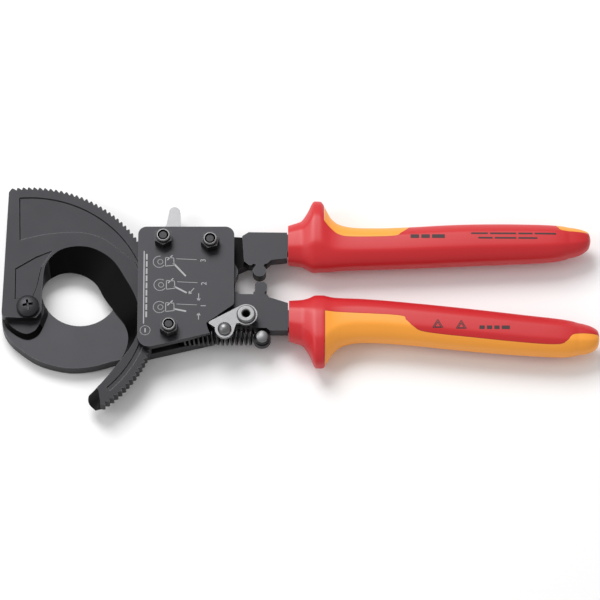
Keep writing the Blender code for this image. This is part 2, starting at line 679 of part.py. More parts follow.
def moving_arm(axis):
    """Plate in the head, stop nose, pawl ear, spring ear and tang."""
    lower, upper = tang_sides(MOVING_GRIP, 0.0)
    shoulder = MOVING_COLLAR_X - SHOULDER_GAP
    outline = [head(33.6, -8.8), head(48.2, -8.8), head(50.3, -9.6), head(54.0, -9.6),
               head(55.4, -10.8), (shoulder, -10.8), *lower, *reversed(upper)]
    outline += [(shoulder, 1.8), head(55.0, 4.5), *arc(head(53.8, 6.4), 0.8, 300, 80, 35)]
    outline += arc(head(52.8, 10.0), 1.4, 0, 90, 22) + arc(head(50.5, 10.0), 1.4, 90, 180, 22)
    outline += [*arc(head(49.2, 6.4), 0.8, 100, 240, 35), head(47.4, 5.9), head(42.5, 5.9)]
    outline += spline([head(39.6, 8.0), head(39.4, 12.0), head(41.6, 14.2), head(41.9, 17.0),
                       head(40.2, 20.5), head(37.7, 25.0)], 3)
    outline += arc(BOLT_UPPER_RIGHT, 7.0, 0, 180, 12)
    outline += [head(25.2, 18.0), head(26.4, 9.0), head(30.6, -2.0)]
    arm = plate("moving_arm", outline, LAYER_BOTTOM, LAYER_TOP, burnished("arm_steel"), axis)
    x, y = DRIVE_PAWL_PIVOT
    web = [(x, y - 4.0), head(27.0, y - 6.0), head(27.0, y + 4.5), (x, y + 4.0)]
    join(arm, plate("pawl_ear_web", web, LAYER_BOTTOM, HALF_LAYER_TOP, None, axis),
         rod("pawl_ear", DRIVE_PAWL_PIVOT, 4.0, LAYER_BOTTOM, HALF_LAYER_TOP, None, axis, 28),
         rod("spring_ear", SPRING_POST, 3.7, LAYER_BOTTOM, HALF_LAYER_TOP, None, axis, 28))
    bush_outer = BOLT_RADIUS + GAP + HANDLE_BUSH_WALL
    bore(arm, BOLT_UPPER_RIGHT, bush_outer + GAP, 0.0, COVER_TOP)
    bore(arm, DRIVE_PAWL_PIVOT, 1.8, 0.0, COVER_TOP, 20)
    bore(arm, EYELET, eyelet_shaft() + GAP, 0.0, COVER_TOP, 24)
    bore(arm, SPRING_POST, 2.1, 0.0, COVER_TOP, 24)
    return arm


def spring_post(axis):
    """The bright stud that the return spring hooks on."""
    top = LAYER_TOP - 0.1
    shoulder = top - POST_HEAD_HEIGHT
    profile = [(0.0, LAYER_BOTTOM + 0.2), (1.8, LAYER_BOTTOM + 0.2), (1.8, shoulder),
               (2.6, shoulder), (2.6, top - 0.5), (2.1, top - 0.1), (1.2, top), (0.0, top)]
    turned("spring_post", profile, SPRING_POST, bright_zinc("post_zinc"), axis, 28)


def return_spring(tool):
    """Extension spring from the lower spacer to the stud on the moving arm."""
    wire = SPRING_WIRE / 2
    radius = SPRING_RADIUS - wire
    loop_level = (HALF_LAYER_TOP + LAYER_TOP - 0.1 - POST_HEAD_HEIGHT) / 2
    first_x = BOLT_LOWER[0] + BOLT_RADIUS + GAP + BUSH_WALL + 1.9
    last_x = SPRING_POST[0] - 3.9
    turns = round((last_x - first_x) / SPRING_PITCH)
    coil = coil_path((first_x, SPRING_AXIS_Y), (last_x, SPRING_AXIS_Y), ARM_MIDDLE, radius, turns, 8)
    left_loop_radius = BOLT_RADIUS + GAP + BUSH_WALL + wire + 0.3
    left_loop = [(*point, loop_level) for point in arc(BOLT_LOWER, left_loop_radius, 330, 20, 25)]
    right_loop = [(*point, loop_level) for point in arc(SPRING_POST, 2.7, 165, -150, 25)]
    path = left_loop + coil + right_loop
    add_object("return_spring", wire_mesh("return_spring", path, wire, 5),
               black_oxide("return_spring_steel"), tool)


# Lock lever


def eyelet_shaft():
    return EYELET_BORE + 0.5


def lock_lever(axis, arm_axis):
    """Stamped lever with a lobe, its eyelet, spacer and domed knob."""
    bottom = COVER_TOP + GAP
    top = bottom + LEVER_THICKNESS
    tip = (EYELET[0] - 15.6, EYELET[1] - 3.6)
    outline = [*arc(KNOB, 4.0, 170, 330, 12), (KNOB[0] + 4.9, KNOB[1] + 2.6)]
    outline += arc(EYELET, 4.7, 235, 478, 12)
    outline += arc((tip[0] + 0.7, tip[1] - 0.1), 0.7, 118, 222, 26)
    lever = plate("lock_lever", outline, bottom, top, bright_zinc("lever_zinc"), axis)
    bore(lever, EYELET, eyelet_shaft() + GAP, 0.0, top + 5.0, 24)
    bore(lever, KNOB, 1.5, 0.0, top + 5.0, 16)
    tube("lock_lever_spacer", EYELET, eyelet_shaft() + GAP, 2.9, LAYER_TOP + GAP, bottom - GAP,
         bright_zinc("lever_spacer_zinc"), arm_axis, 24)
    flange_bottom = top + GAP
    shaft = eyelet_shaft()
    profile = [(EYELET_BORE, LAYER_BOTTOM + 0.2), (shaft, LAYER_BOTTOM + 0.2),
               (shaft, flange_bottom), (EYELET_RADIUS, flange_bottom),
               (EYELET_RADIUS, flange_bottom + 0.5), (EYELET_RADIUS - 0.5, flange_bottom + 1.0),
               (EYELET_BORE + 0.4, flange_bottom + 1.0), (EYELET_BORE, flange_bottom + 0.6)]
    turned("lock_lever_rivet", profile, EYELET, bright_zinc("rivet_zinc"), arm_axis, 32)
    dome = [(0.0, bottom), (1.2, bottom), (1.2, flange_bottom), (KNOB_RADIUS, flange_bottom)]
    dome += [(KNOB_RADIUS * math.cos(math.radians(a)),
              flange_bottom + 0.4 + 1.7 * math.sin(math.radians(a))) for a in (0, 25, 50, 70)]
    dome += [(0.0, flange_bottom + 2.1)]
    turned("lock_lever_knob", dome, KNOB, bright_zinc("knob_zinc"), axis, 28)


# Grips


def grip_solid(name, plan, inset, parent):
    """A lofted body through the grip's sections, made thinner by an inset."""
    bm = bmesh.new()
    rings = []
    for share, offset, width, depth in plan.sections:
        x = plan.collar_x + share * (plan.length - inset)
        ring = []
        for k in range(SECTION_SIDES):
            angle = 2 * math.pi * k / SECTION_SIDES
            c, s = math.cos(angle), math.sin(angle)
            across = math.copysign(abs(c) ** (2 / SECTION_POWER), c) * max(width - inset, 0.8)
            up = math.copysign(abs(s) ** (2 / SECTION_POWER), s) * max(depth - inset, 0.8)
            ring.append(bm.verts.new((x, plan.middle_y + offset + across, ARM_MIDDLE + up)))
        rings.append(ring)
    for ring, following in zip(rings, rings[1:]):
        for k in range(SECTION_SIDES):
            j = (k + 1) % SECTION_SIDES
            bm.faces.new((ring[k], ring[j], following[j], following[k]))
    bm.faces.new(reversed(rings[0]))
    bm.faces.new(rings[-1])
    bmesh.ops.triangulate(bm, faces=bm.faces)
    return add_object(name, mesh_from(name, bm, smooth=True), None, parent)


def window_prism(name, border, far_y, shrink, parent):
    """A block over all the grip's depth, from a border line out to far_y."""
    side = 1.0 if far_y > border[0][1] else -1.0
    low = [(x, y + side * shrink) for x, y in border]
    low[0] = (low[0][0] + shrink, low[0][1])
    low[-1] = (low[-1][0] - shrink, low[-1][1])
    outline = low + [(low[-1][0], far_y), (low[0][0], far_y)]
    return plate(name, without_repeats(outline), -5.0, ARM_MIDDLE + 20.0, None, parent)


def grip(prefix, plan, borders, far_y, parent):
    """Two-colour grip: a yellow core that shows in the windows of a red sleeve."""
    sleeve = grip_solid(f"{prefix}_grip_sleeve", plan, 0.0, parent)
    sleeve.data.materials.append(red_plastic(f"{prefix}_sleeve_red"))
    core = grip_solid(f"{prefix}_grip_core", plan, SLEEVE_WALL + GAP, parent)
    core.data.materials.append(yellow_plastic(f"{prefix}_core_yellow"))
    for i, border in enumerate(borders):
        inlay = grip_solid(f"{prefix}_inlay_{i}", plan, 0.0, parent)
        limit = window_prism(f"{prefix}_inlay_limit_{i}", border, far_y, GAP, parent)
        boolean(inlay, limit, "INTERSECT")
        join(core, inlay)
    mouth = rectangle(plan.collar_x - 1.0, plan.collar_x + 1.5, plan.middle_y, 5.6)
    cut(sleeve,
        grip_solid(f"{prefix}_sleeve_cavity", plan, SLEEVE_WALL, parent),
        plate(f"{prefix}_sleeve_mouth", mouth, ARM_MIDDLE - 4.2, ARM_MIDDLE + 4.2, None, parent))
    for i, border in enumerate(borders):
        cut(sleeve, window_prism(f"{prefix}_window_{i}", border, far_y, 0.0, parent))
    lower, upper = tang_sides(plan, GAP)
    pocket = lower + upper[::-1]
    cut(core, plate(f"{prefix}_tang_pocket", pocket, LAYER_BOTTOM - GAP, LAYER_TOP + GAP, None, parent))


def rectangle(left, right, middle, half):
    return [(left, middle - half), (right, middle - half), (right, middle + half),
            (left, middle + half)]


def fixed_grip(tool):
    """The upper grip: yellow behind the guard and at the end."""
    x, y = FIXED_COLLAR_X, FIXED_ARM_Y
    behind_guard = [(x + 15.2, y + 9.0), (x + 18.0, y + 5.6), (x + 21.5, y + 2.9),
                    (x + 27.0, y + 2.0), (x + 44.0, y + 2.3), (x + 47.5, y + 4.0),
                    (x + 50.5, y + 7.0), (x + 54.0, y + 12.0)]
    end_patch = [(x + 111.5, y + 12.0), (x + 113.5, y + 7.6), (x + 116.5, y + 5.4),
                 (x + FIXED_GRIP_LENGTH + 3.0, y + 5.2)]
    grip("fixed", FIXED_GRIP, [behind_guard, end_patch], y + 22.0, tool)


def moving_grip(axis):
    """The lower grip: yellow along its outer side from the guard to the end."""
    x, y = MOVING_COLLAR_X, MOVING_ARM_Y
    border = [(x + 15.0, y + 0.6), (x + 45.0, y - 1.0), (x + 49.0, y - 3.2),
              (x + 52.5, y - 6.4), (x + 58.0, y - 8.4), (x + 80.0, y - 11.0),
              (x + 100.0, y - 13.0), (x + 112.5, y - 13.6), (x + 116.5, y - 12.0),
              (x + 120.0, y - 9.0), (x + MOVING_GRIP_LENGTH + 3.0, y - 8.6)]
    grip("moving", MOVING_GRIP, [border], y - 30.0, axis)


# The whole tool


def centre_on_origin(tool):
    """Moves the tool so that the bottom centre of its box is the world's origin."""
    bpy.context.view_layer.update()
    graph = bpy.context.evaluated_depsgraph_get()
    low = Vector((math.inf,) * 3)
    high = Vector((-math.inf,) * 3)
    for obj in bpy.data.objects:
        if obj.type != "MESH" or obj.hide_render:
            continue
        evaluated = obj.evaluated_get(graph)
        for corner in evaluated.bound_box:
            point = evaluated.matrix_world @ Vector(corner)
            low = Vector(map(min, low, point))
            high = Vector(map(max, high, point))
    tool.location = (-(low.x + high.x) / 2, -(low.y + high.y) / 2, -low.z)
    bpy.context.view_layer.update()


def main():
    clear_scene()
    tool = bpy.data.objects.new("tool", None)
    bpy.context.scene.collection.objects.link(tool)
    blade_axis = axis_empty("blade_axis", (0, 0), tool)
    handle_axis = axis_empty("handle_axis", BOLT_UPPER_RIGHT, tool)
    release_axis = axis_empty("release_lever_axis", BOLT_UPPER_LEFT, tool)
    pawl_axis = axis_empty("drive_pawl_axis", DRIVE_PAWL_PIVOT, handle_axis)
    lock_axis = axis_empty("lock_lever_axis", EYELET, handle_axis)

    frame_and_jaw(tool)
    moving_blade(blade_axis)
    blade_pivot(tool)
    front_cover(tool)
    cover_fastener(tool, BOLT_UPPER_LEFT, "upper_left", 30)
    cover_fastener(tool, BOLT_UPPER_RIGHT, "upper_right", 15)
    cover_fastener(tool, BOLT_LOWER, "lower", 24)
    spacers(tool)
    release_lever(release_axis, tool)
    drive_pawl(pawl_axis, handle_axis)
    moving_arm(handle_axis)
    spring_post(handle_axis)
    return_spring(tool)
    lock_lever(lock_axis, handle_axis)
    fixed_grip(tool)
    moving_grip(handle_axis)
    centre_on_origin(tool)


main()
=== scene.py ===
"""The looks of a hand ratchet cable cutter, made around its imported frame."""

import json
import logging
import math
from dataclasses import dataclass
from enum import Enum
from typing import Iterable, Sequence

import bmesh
import bpy
from mathutils import Matrix, Vector

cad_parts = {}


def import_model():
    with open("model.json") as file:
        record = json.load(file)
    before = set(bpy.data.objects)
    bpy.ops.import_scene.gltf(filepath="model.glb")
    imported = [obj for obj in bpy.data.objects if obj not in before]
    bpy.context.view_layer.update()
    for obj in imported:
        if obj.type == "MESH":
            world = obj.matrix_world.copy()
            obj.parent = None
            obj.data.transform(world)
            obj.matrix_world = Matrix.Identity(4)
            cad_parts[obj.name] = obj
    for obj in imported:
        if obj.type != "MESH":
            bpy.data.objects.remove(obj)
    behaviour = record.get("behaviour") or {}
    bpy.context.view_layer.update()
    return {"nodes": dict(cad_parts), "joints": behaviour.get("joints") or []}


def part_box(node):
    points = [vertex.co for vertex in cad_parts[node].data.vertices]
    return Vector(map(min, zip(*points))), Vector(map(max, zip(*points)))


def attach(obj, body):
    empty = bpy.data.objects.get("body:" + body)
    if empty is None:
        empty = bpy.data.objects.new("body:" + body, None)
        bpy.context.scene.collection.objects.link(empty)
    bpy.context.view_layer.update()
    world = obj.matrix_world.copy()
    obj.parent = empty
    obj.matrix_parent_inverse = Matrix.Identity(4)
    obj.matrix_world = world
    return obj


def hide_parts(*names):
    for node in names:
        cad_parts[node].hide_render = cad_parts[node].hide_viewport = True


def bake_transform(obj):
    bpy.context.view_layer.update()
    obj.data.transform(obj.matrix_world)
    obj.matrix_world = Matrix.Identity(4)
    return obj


MM = 0.001
LOG = logging.getLogger("cable_cutter")
Point = tuple[float, float]
Spot = tuple[float, float, float]
Station = tuple[float, float, float, float]


class Slot(Enum):
    """The record's material slots."""

    BURNISHED = "burnished_steel"
    BLACK = "black_steel"
    BLADE = "blade_steel"
    ZINC = "bright_zinc"
    WIRE = "spring_steel"
    RED = "red_grip"
    YELLOW = "yellow_grip"


class Body(Enum):
    """The bodies that pieces ride on."""

    FRAME = "frame"
    BLADE = "blade"
    HANDLE = "moving_handle"
    DRIVE_PAWL = "drive_pawl"
    RELEASE = "release_lever"
    LOCK = "lock_lever"


# Small geometry helpers. Lengths are in millimetres round the blade's pivot.


@dataclass(frozen=True)
class Layout:
    """Turns the tool's own millimetres into places in the frame.

    Args:
        pivot: where the blade's pivot stands in the frame, in metres.
    """

    pivot: Vector

    def at(self, x: float, y: float, z: float) -> Vector:
        """The place in metres of a point given in millimetres."""
        return Vector((x * MM + self.pivot.x, y * MM + self.pivot.y, z * MM))


def polar(radius: float, degrees: float, centre: Point = (0.0, 0.0)) -> Point:
    """The point at a radius and an angle round a centre."""
    angle = math.radians(degrees)
    return centre[0] + radius * math.cos(angle), centre[1] + radius * math.sin(angle)


def arc(centre: Point, radius: float, start: float, end: float, step: float = 3.0) -> list[Point]:
    """Points along an arc, its ends included.

    Args:
        centre: the arc's centre.
        radius: the arc's radius.
        start: its first angle in degrees.
        end: its last angle in degrees.
        step: the largest angle between two points.

    Returns:
        The points in order.
    """
    count = max(1, math.ceil(abs(end - start) / step))
    return [polar(radius, start + (end - start) * i / count, centre) for i in range(count + 1)]


def spline(points: Sequence[Point], steps: int = 10) -> list[Point]:
    """A smooth curve through the points.

    Args:
        points: the points that the curve passes.
        steps: how many points it gets from one of them to the next.

    Returns:
        The curve's points in order.
    """
    ends = [points[0], *points, points[-1]]
    curve = []
    for a, b, c, d in zip(ends, ends[1:], ends[2:], ends[3:]):
        for i in range(steps):
            t = i / steps
            curve.append(tuple(
                0.5 * (2 * q + (r - p) * t + (2 * p - 5 * q + 4 * r - s) * t * t
                       + (3 * q - p - 3 * r + s) * t ** 3)
                for p, q, r, s in zip(a, b, c, d)))
    curve.append(tuple(points[-1]))
    return curve


def linked(name: str, mesh: bpy.types.Mesh) -> bpy.types.Object:
    """A new object in the scene that shows a mesh."""
    piece = bpy.data.objects.new(name, mesh)
    bpy.context.scene.collection.objects.link(piece)
    return piece


def finished_mesh(name: str, bm: bmesh.types.BMesh, smooth_angle: float = 32.0) -> bpy.types.Mesh:
    """Writes a bmesh into a mesh that is shaded smooth up to an angle."""
    bmesh.ops.recalc_face_normals(bm, faces=bm.faces)
    mesh = bpy.data.meshes.new(name)
    bm.to_mesh(mesh)
    bm.free()
    soften(mesh, smooth_angle)
    return mesh


def soften(mesh: bpy.types.Mesh, angle: float) -> None:
    """Shades a mesh smooth, but keeps edges over an angle in degrees sharp."""
    for polygon in mesh.polygons:
        polygon.use_smooth = True
    mesh.set_sharp_from_angle(angle=math.radians(angle))


def grown(outline: Sequence[Point], by: float) -> list[Point]:
    """An outline moved outwards along its corners' normals.

    Args:
        outline: the outline, in either direction.
        by: how far each side moves.

    Returns:
        As many points as the outline has.
    """
    area = sum(a[0] * b[1] - b[0] * a[1] for a, b in zip(outline, [*outline[1:], outline[0]]))
    sign = 1.0 if area > 0 else -1.0
    moved = []
    for before, here, after in zip([outline[-1], *outline], outline, [*outline[1:], outline[0]]):
        sides = [Vector(here) - Vector(before), Vector(after) - Vector(here)]
        normals = [Vector((side.y, -side.x)).normalized() * sign for side in sides]
        middle = normals[0] + normals[1]
        reach = by * 2 / max(middle.length_squared, 0.8)
        moved.append(tuple(Vector(here) + middle * reach))
    return moved


def slab(name: str, layout: Layout, lower: Sequence[Point], upper: Sequence[Point],
         bottom: float, top: float) -> bpy.types.Object:
    """A body between two outlines of equally many points.

    Args:
        name: the object's name.
        layout: where the tool stands.
        lower: the outline at the bottom.
        upper: the outline at the top.
        bottom: the lower level.
        top: the upper level.

    Returns:
        The new object.
    """
    bm = bmesh.new()
    low = [bm.verts.new(layout.at(x, y, bottom)) for x, y in lower]
    high = [bm.verts.new(layout.at(x, y, top)) for x, y in upper]
    bm.faces.new(low[::-1])
    bm.faces.new(high)
    for i, start in enumerate(low):
        j = (i + 1) % len(low)
        bm.faces.new((start, low[j], high[j], high[i]))
    return linked(name, finished_mesh(name, bm))


def turned(name: str, centre: Vector, profile: Sequence[Point],
           sides: int = 64) -> bpy.types.Object:
    """A round piece, turned about an upright axis.

    Args:
        name: the object's name.
        centre: a point of the axis, in metres.
        profile: radius and level in millimetres, from the bottom to the top.
        sides: how many sides the piece has.

    Returns:
        The new object.
    """
    bm = bmesh.new()
    rings = []
    for radius, level in profile:
        if radius < 1e-6:
            rings.append([bm.verts.new((centre.x, centre.y, level * MM))])
            continue
        ring = []
        for k in range(sides):
            x, y = polar(radius * MM, 360 * k / sides, (centre.x, centre.y))
            ring.append(bm.verts.new((x, y, level * MM)))
        rings.append(ring)
    for ring, following in zip(rings, rings[1:] + rings[:1]):
        for k in range(sides):
            corners = list(dict.fromkeys((ring[k % len(ring)], ring[(k + 1) % len(ring)],
                                          following[(k + 1) % len(following)],
                                          following[k % len(following)])))
            if len(corners) > 2:
                bm.faces.new(corners)
    return linked(name, finished_mesh(name, bm, 40.0))


def boolean(target: bpy.types.Object, cutter: bpy.types.Object, operation: str) -> None:
    """Applies a Boolean to the target and removes the cutter."""
    modifier = target.modifiers.new("shape", "BOOLEAN")
    modifier.object = cutter
    modifier.operation = operation
    modifier.solver = "EXACT"
    graph = bpy.context.evaluated_depsgraph_get()
    mesh = bpy.data.meshes.new_from_object(target.evaluated_get(graph), depsgraph=graph)
    target.modifiers.remove(modifier)
    target.data = mesh
    bpy.data.objects.remove(cutter)


def bevelled(piece: bpy.types.Object, width: float, segments: int = 2, angle: float = 32.0) -> None:
    """Rounds a piece's edges.

    Args:
        piece: the object to round.
        width: the bevel's width in millimetres.
        segments: how many faces lie across it.
        angle: only edges sharper than this are rounded, in degrees.
    """
    modifier = piece.modifiers.new("rounded_edges", "BEVEL")
    modifier.width = width * MM
    modifier.segments = segments
    modifier.limit_method = "ANGLE"
    modifier.angle_limit = math.radians(angle)
    modifier.harden_normals = True
    modifier.use_clamp_overlap = True


def wire(name: str, layout: Layout, path: Sequence[Spot], radius: float) -> bpy.types.Object:
    """A round wire along a path, with closed ends, as a mesh."""
    curve = bpy.data.curves.new(name, "CURVE")
    curve.dimensions = "3D"
    curve.bevel_depth = radius * MM
    curve.bevel_resolution = 3
    curve.use_fill_caps = True
    run = curve.splines.new("POLY")
    run.points.add(len(path) - 1)
    for point, place in zip(run.points, path):
        point.co = (*layout.at(*place), 1.0)
    run.use_smooth = True
    guide = bpy.data.objects.new(f"{name}_guide", curve)
    bpy.context.scene.collection.objects.link(guide)
    bpy.context.view_layer.update()
    graph = bpy.context.evaluated_depsgraph_get()
    mesh = bpy.data.meshes.new_from_object(guide.evaluated_get(graph))
    mesh.materials.clear()
    bpy.data.objects.remove(guide)
    return linked(name, mesh)


def settle(piece: bpy.types.Object, body: Body, slot: Slot, *nodes: str) -> None:
    """Puts a piece on its body and in the place of nodes."""
    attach(piece, body.value)
    if nodes:
        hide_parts(*nodes)
    LOG.info("%s rides on %s", piece.name, body.value)


# Shader groups and finishes


def shader_group(name: str, inputs: dict[str, float], outputs: Sequence[str]
                 ) -> tuple[bpy.types.NodeTree, bpy.types.Node, bpy.types.Node]:
    """A shader group with named number sockets, and its nodes for what goes in and out."""
    group = bpy.data.node_groups.new(name, "ShaderNodeTree")
    sockets = group.interface
    for key, value in inputs.items():
        sockets.new_socket(key, in_out="INPUT", socket_type="NodeSocketFloat").default_value = value
    for key in outputs:
        sockets.new_socket(key, in_out="OUTPUT", socket_type="NodeSocketFloat")
    return group, group.nodes.new("NodeGroupInput"), group.nodes.new("NodeGroupOutput")


def added(tree: bpy.types.NodeTree, kind: str, operation: str = "",
          values: dict[str | int, float | Sequence[float]] | None = None) -> bpy.types.Node:
    """A new shader node with its operation and some of its inputs set."""
    made = tree.nodes.new(f"ShaderNode{kind}")
    if operation:
        made.operation = operation
    for key, value in (values or {}).items():
        made.inputs[key].default_value = value
    return made


def joined(tree: bpy.types.NodeTree,
           *pairs: tuple[bpy.types.NodeSocket, bpy.types.NodeSocket]) -> None:
    """Links each pair's output to its input."""
    for source, target in pairs:
        tree.links.new(source, target)


def grain_group() -> bpy.types.NodeTree:
    """Fine and coarse mottling: a shade from 0 to 1 and a height."""
    group, given, result = shader_group(
        "surface_grain", {"Fine Scale": 2200.0, "Coarse Scale": 90.0}, ("Shade", "Height"))
    place = added(group, "TexCoord")
    fine = added(group, "TexNoise", values={"Detail": 3.0})
    coarse = added(group, "TexNoise", values={"Detail": 4.0})
    mix = added(group, "Math", "MULTIPLY_ADD", {1: 0.4})
    share = added(group, "Math", "MULTIPLY", {1: 0.6})
    joined(group,
           (place.outputs["Object"], fine.inputs["Vector"]),
           (place.outputs["Object"], coarse.inputs["Vector"]),
           (given.outputs["Fine Scale"], fine.inputs["Scale"]),
           (given.outputs["Coarse Scale"], coarse.inputs["Scale"]),
           (coarse.outputs["Fac"], share.inputs[0]),
           (fine.outputs["Fac"], mix.inputs[0]),
           (share.outputs[0], mix.inputs[2]),
           (mix.outputs[0], result.inputs["Shade"]),
           (fine.outputs["Fac"], result.inputs["Height"]))
    return group


def wear_group() -> bpy.types.NodeTree:
    """A mask from 0 to 1 that is high where edges are rubbed bare."""
    group, given, result = shader_group(
        "edge_wear", {"Start": 0.02, "Full": 0.22, "Breakup": 500.0}, ("Mask",))
    shape = added(group, "NewGeometry")
    rounded = added(group, "Bevel", values={"Radius": 0.35 * MM})
    turn = added(group, "VectorMath", "DOT_PRODUCT")
    bend = added(group, "Math", "SUBTRACT", {0: 1.0})
    place = added(group, "TexCoord")
    noise = added(group, "TexNoise", values={"Detail": 2.0})
    reach = added(group, "MapRange")
    torn = added(group, "Math", "MULTIPLY")
    joined(group,
           (shape.outputs["Normal"], turn.inputs[0]),
           (rounded.outputs["Normal"], turn.inputs[1]),
           (turn.outputs["Value"], bend.inputs[1]),
           (bend.outputs[0], reach.inputs["Value"]),
           (given.outputs["Start"], reach.inputs["From Min"]),
           (given.outputs["Full"], reach.inputs["From Max"]),
           (place.outputs["Object"], noise.inputs["Vector"]),
           (given.outputs["Breakup"], noise.inputs["Scale"]),
           (reach.outputs["Result"], torn.inputs[0]),
           (noise.outputs["Fac"], torn.inputs[1]),
           (torn.outputs[0], result.inputs["Mask"]))
    return group


@dataclass(frozen=True)
class Finish:
    """One finish of the tool.

    Args:
        name: the material's name.
        base: its linear colour.
        shade: how far the grain darkens and lightens the colour.
        worn: the colour of rubbed edges.
        metallic: 1 for bare metal, 0 for plastic.
        roughness: the middle of its roughness.
        spread: how far the grain moves the roughness.
        relief: the strength of the fine bump.
        fine: the scale of the fine grain, per metre.
        coarse: the scale of the broad mottling, per metre.
    """

    name: str
    base: tuple[float, float, float]
    shade: float
    worn: tuple[float, float, float]
    metallic: float
    roughness: float
    spread: float
    relief: float
    fine: float
    coarse: float

    def material(self) -> bpy.types.Material:
        """The finish's material, built once."""
        known = bpy.data.materials.get(self.name)
        if known:
            return known
        made = bpy.data.materials.new(self.name)
        made.use_nodes = True
        tree = made.node_tree
        shader = tree.nodes["Principled BSDF"]
        shader.inputs["Metallic"].default_value = self.metallic
        grain = added(tree, "Group")
        grain.node_tree = bpy.data.node_groups.get("surface_grain") or grain_group()
        grain.inputs["Fine Scale"].default_value = self.fine
        grain.inputs["Coarse Scale"].default_value = self.coarse
        wear = added(tree, "Group")
        wear.node_tree = bpy.data.node_groups.get("edge_wear") or wear_group()
        tint = added(tree, "Mix")
        tint.data_type = "RGBA"
        tint.inputs["A"].default_value = (*(c * (1 - self.shade) for c in self.base), 1)
        tint.inputs["B"].default_value = (*(c * (1 + self.shade) for c in self.base), 1)
        rubbed = added(tree, "Mix")
        rubbed.data_type = "RGBA"
        rubbed.inputs["B"].default_value = (*self.worn, 1)
        gloss = added(tree, "MapRange", values={"To Min": self.roughness - self.spread,
                                                "To Max": self.roughness + self.spread})
        bump = added(tree, "Bump", values={"Strength": self.relief, "Distance": 0.05 * MM})
        joined(tree,
               (grain.outputs["Shade"], tint.inputs["Factor"]),
               (tint.outputs["Result"], rubbed.inputs["A"]),
               (wear.outputs["Mask"], rubbed.inputs["Factor"]),
               (rubbed.outputs["Result"], shader.inputs["Base Color"]),
               (grain.outputs["Shade"], gloss.inputs["Value"]),
               (gloss.outputs["Result"], shader.inputs["Roughness"]),
               (grain.outputs["Height"], bump.inputs["Height"]),
               (bump.outputs["Normal"], shader.inputs["Normal"]))
        return made


BURNISHED = Finish("burnished_forging", (0.041, 0.041, 0.045), 0.20, (0.17, 0.17, 0.18), 0.85, 0.46,
                   0.10, 0.35, 2600.0, 110.0)
HARDENED = Finish("hardened_blade", (0.028, 0.028, 0.031), 0.20, (0.14, 0.14, 0.15), 0.85, 0.46,
                  0.10, 0.35, 2600.0, 110.0)
# A painted highlight for the lock nuts' upward crown faces.
CROWN_HIGHLIGHT = Finish("painted_crown_highlight", (0.20, 0.20, 0.205), 0.15, (0.30, 0.30, 0.30), 0.9, 0.40,
                0.08, 0.20, 2600.0, 110.0)
# Near-black paint for shade: the painted shade in the forging's recess, and the painted shade and
# dark reflection on the blade's ground bevel.
SHADE_BLACK = Finish("painted_shade_black", (0.006, 0.006, 0.006), 0.30, (0.03, 0.03, 0.03), 1.0, 0.42,
                0.06, 0.20, 3200.0, 160.0)
LIT_EDGE = Finish("lit_edge", (0.46, 0.46, 0.47), 0.10, (0.55, 0.55, 0.55), 0.9, 0.36,
                  0.05, 0.10, 2600.0, 110.0)
BLACK = Finish("black_oxide", (0.030, 0.030, 0.032), 0.25, (0.16, 0.16, 0.17), 0.80, 0.40,
               0.10, 0.30, 2400.0, 200.0)
ZINC = Finish("zinc_plating", (0.19, 0.19, 0.195), 0.16, (0.42, 0.42, 0.43), 1.0, 0.38,
              0.09, 0.30, 3000.0, 260.0)
WIRE = Finish("spring_wire", (0.055, 0.055, 0.058), 0.20, (0.2, 0.2, 0.2), 1.0, 0.32,
              0.08, 0.20, 3600.0, 500.0)
RED = Finish("red_moulding", (0.56, 0.013, 0.018), 0.07, (0.70, 0.06, 0.06), 0.0, 0.40,
             0.06, 0.40, 4200.0, 60.0)
YELLOW = Finish("yellow_moulding", (0.93, 0.35, 0.035), 0.05, (0.98, 0.50, 0.12), 0.0, 0.42,
                0.06, 0.40, 4200.0, 60.0)
PRINT = Finish("grey_print", (0.36, 0.36, 0.37), 0.12, (0.36, 0.36, 0.37), 0.0, 0.60,
               0.05, 0.10, 5000.0, 300.0)
MARKING = Finish("dark_marking", (0.035, 0.012, 0.014), 0.15, (0.03, 0.01, 0.01), 0.0, 0.55,
                 0.05, 0.10, 5000.0, 300.0)


def dress(piece: bpy.types.Object, *finishes: Finish) -> None:
    """Gives a piece its materials, in order."""
    piece.data.materials.clear()
    for finish in finishes:
        piece.data.materials.append(finish.material())


@dataclass
class Workshop:
    """What every sub-assembly needs to build itself.

    Args:
        layout: where the tool stands.
        nodes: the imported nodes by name.
    """

    layout: Layout
    nodes: dict[str, bpy.types.Object]

    def eased(self, node: str, name: str, body: Body, slot: Slot, finish: Finish,
              width: float = 0.3, segments: int = 2) -> bpy.types.Object:
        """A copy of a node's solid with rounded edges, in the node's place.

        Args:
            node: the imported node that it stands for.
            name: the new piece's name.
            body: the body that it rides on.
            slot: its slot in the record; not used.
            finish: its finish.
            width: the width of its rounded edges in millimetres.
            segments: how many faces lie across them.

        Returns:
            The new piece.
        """
        bm = bmesh.new()
        bm.from_mesh(self.nodes[node].data)
        bmesh.ops.remove_doubles(bm, verts=bm.verts, dist=0.002 * MM)
        bmesh.ops.dissolve_limit(bm, angle_limit=math.radians(0.8), verts=bm.verts, edges=bm.edges)
        piece = linked(name, finished_mesh(name, bm))
        bevelled(piece, width, segments)
        dress(piece, finish)
        settle(piece, body, slot, node)
        return piece

    def size(self, node: str) -> tuple[Vector, float, float, float]:
        """A round node's middle in metres, and its radius, bottom and top in millimetres."""
        low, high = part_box(node)
        middle = (low + high) / 2
        return middle, (high.x - low.x) / 2 / MM, low.z / MM, high.z / MM


# Blade


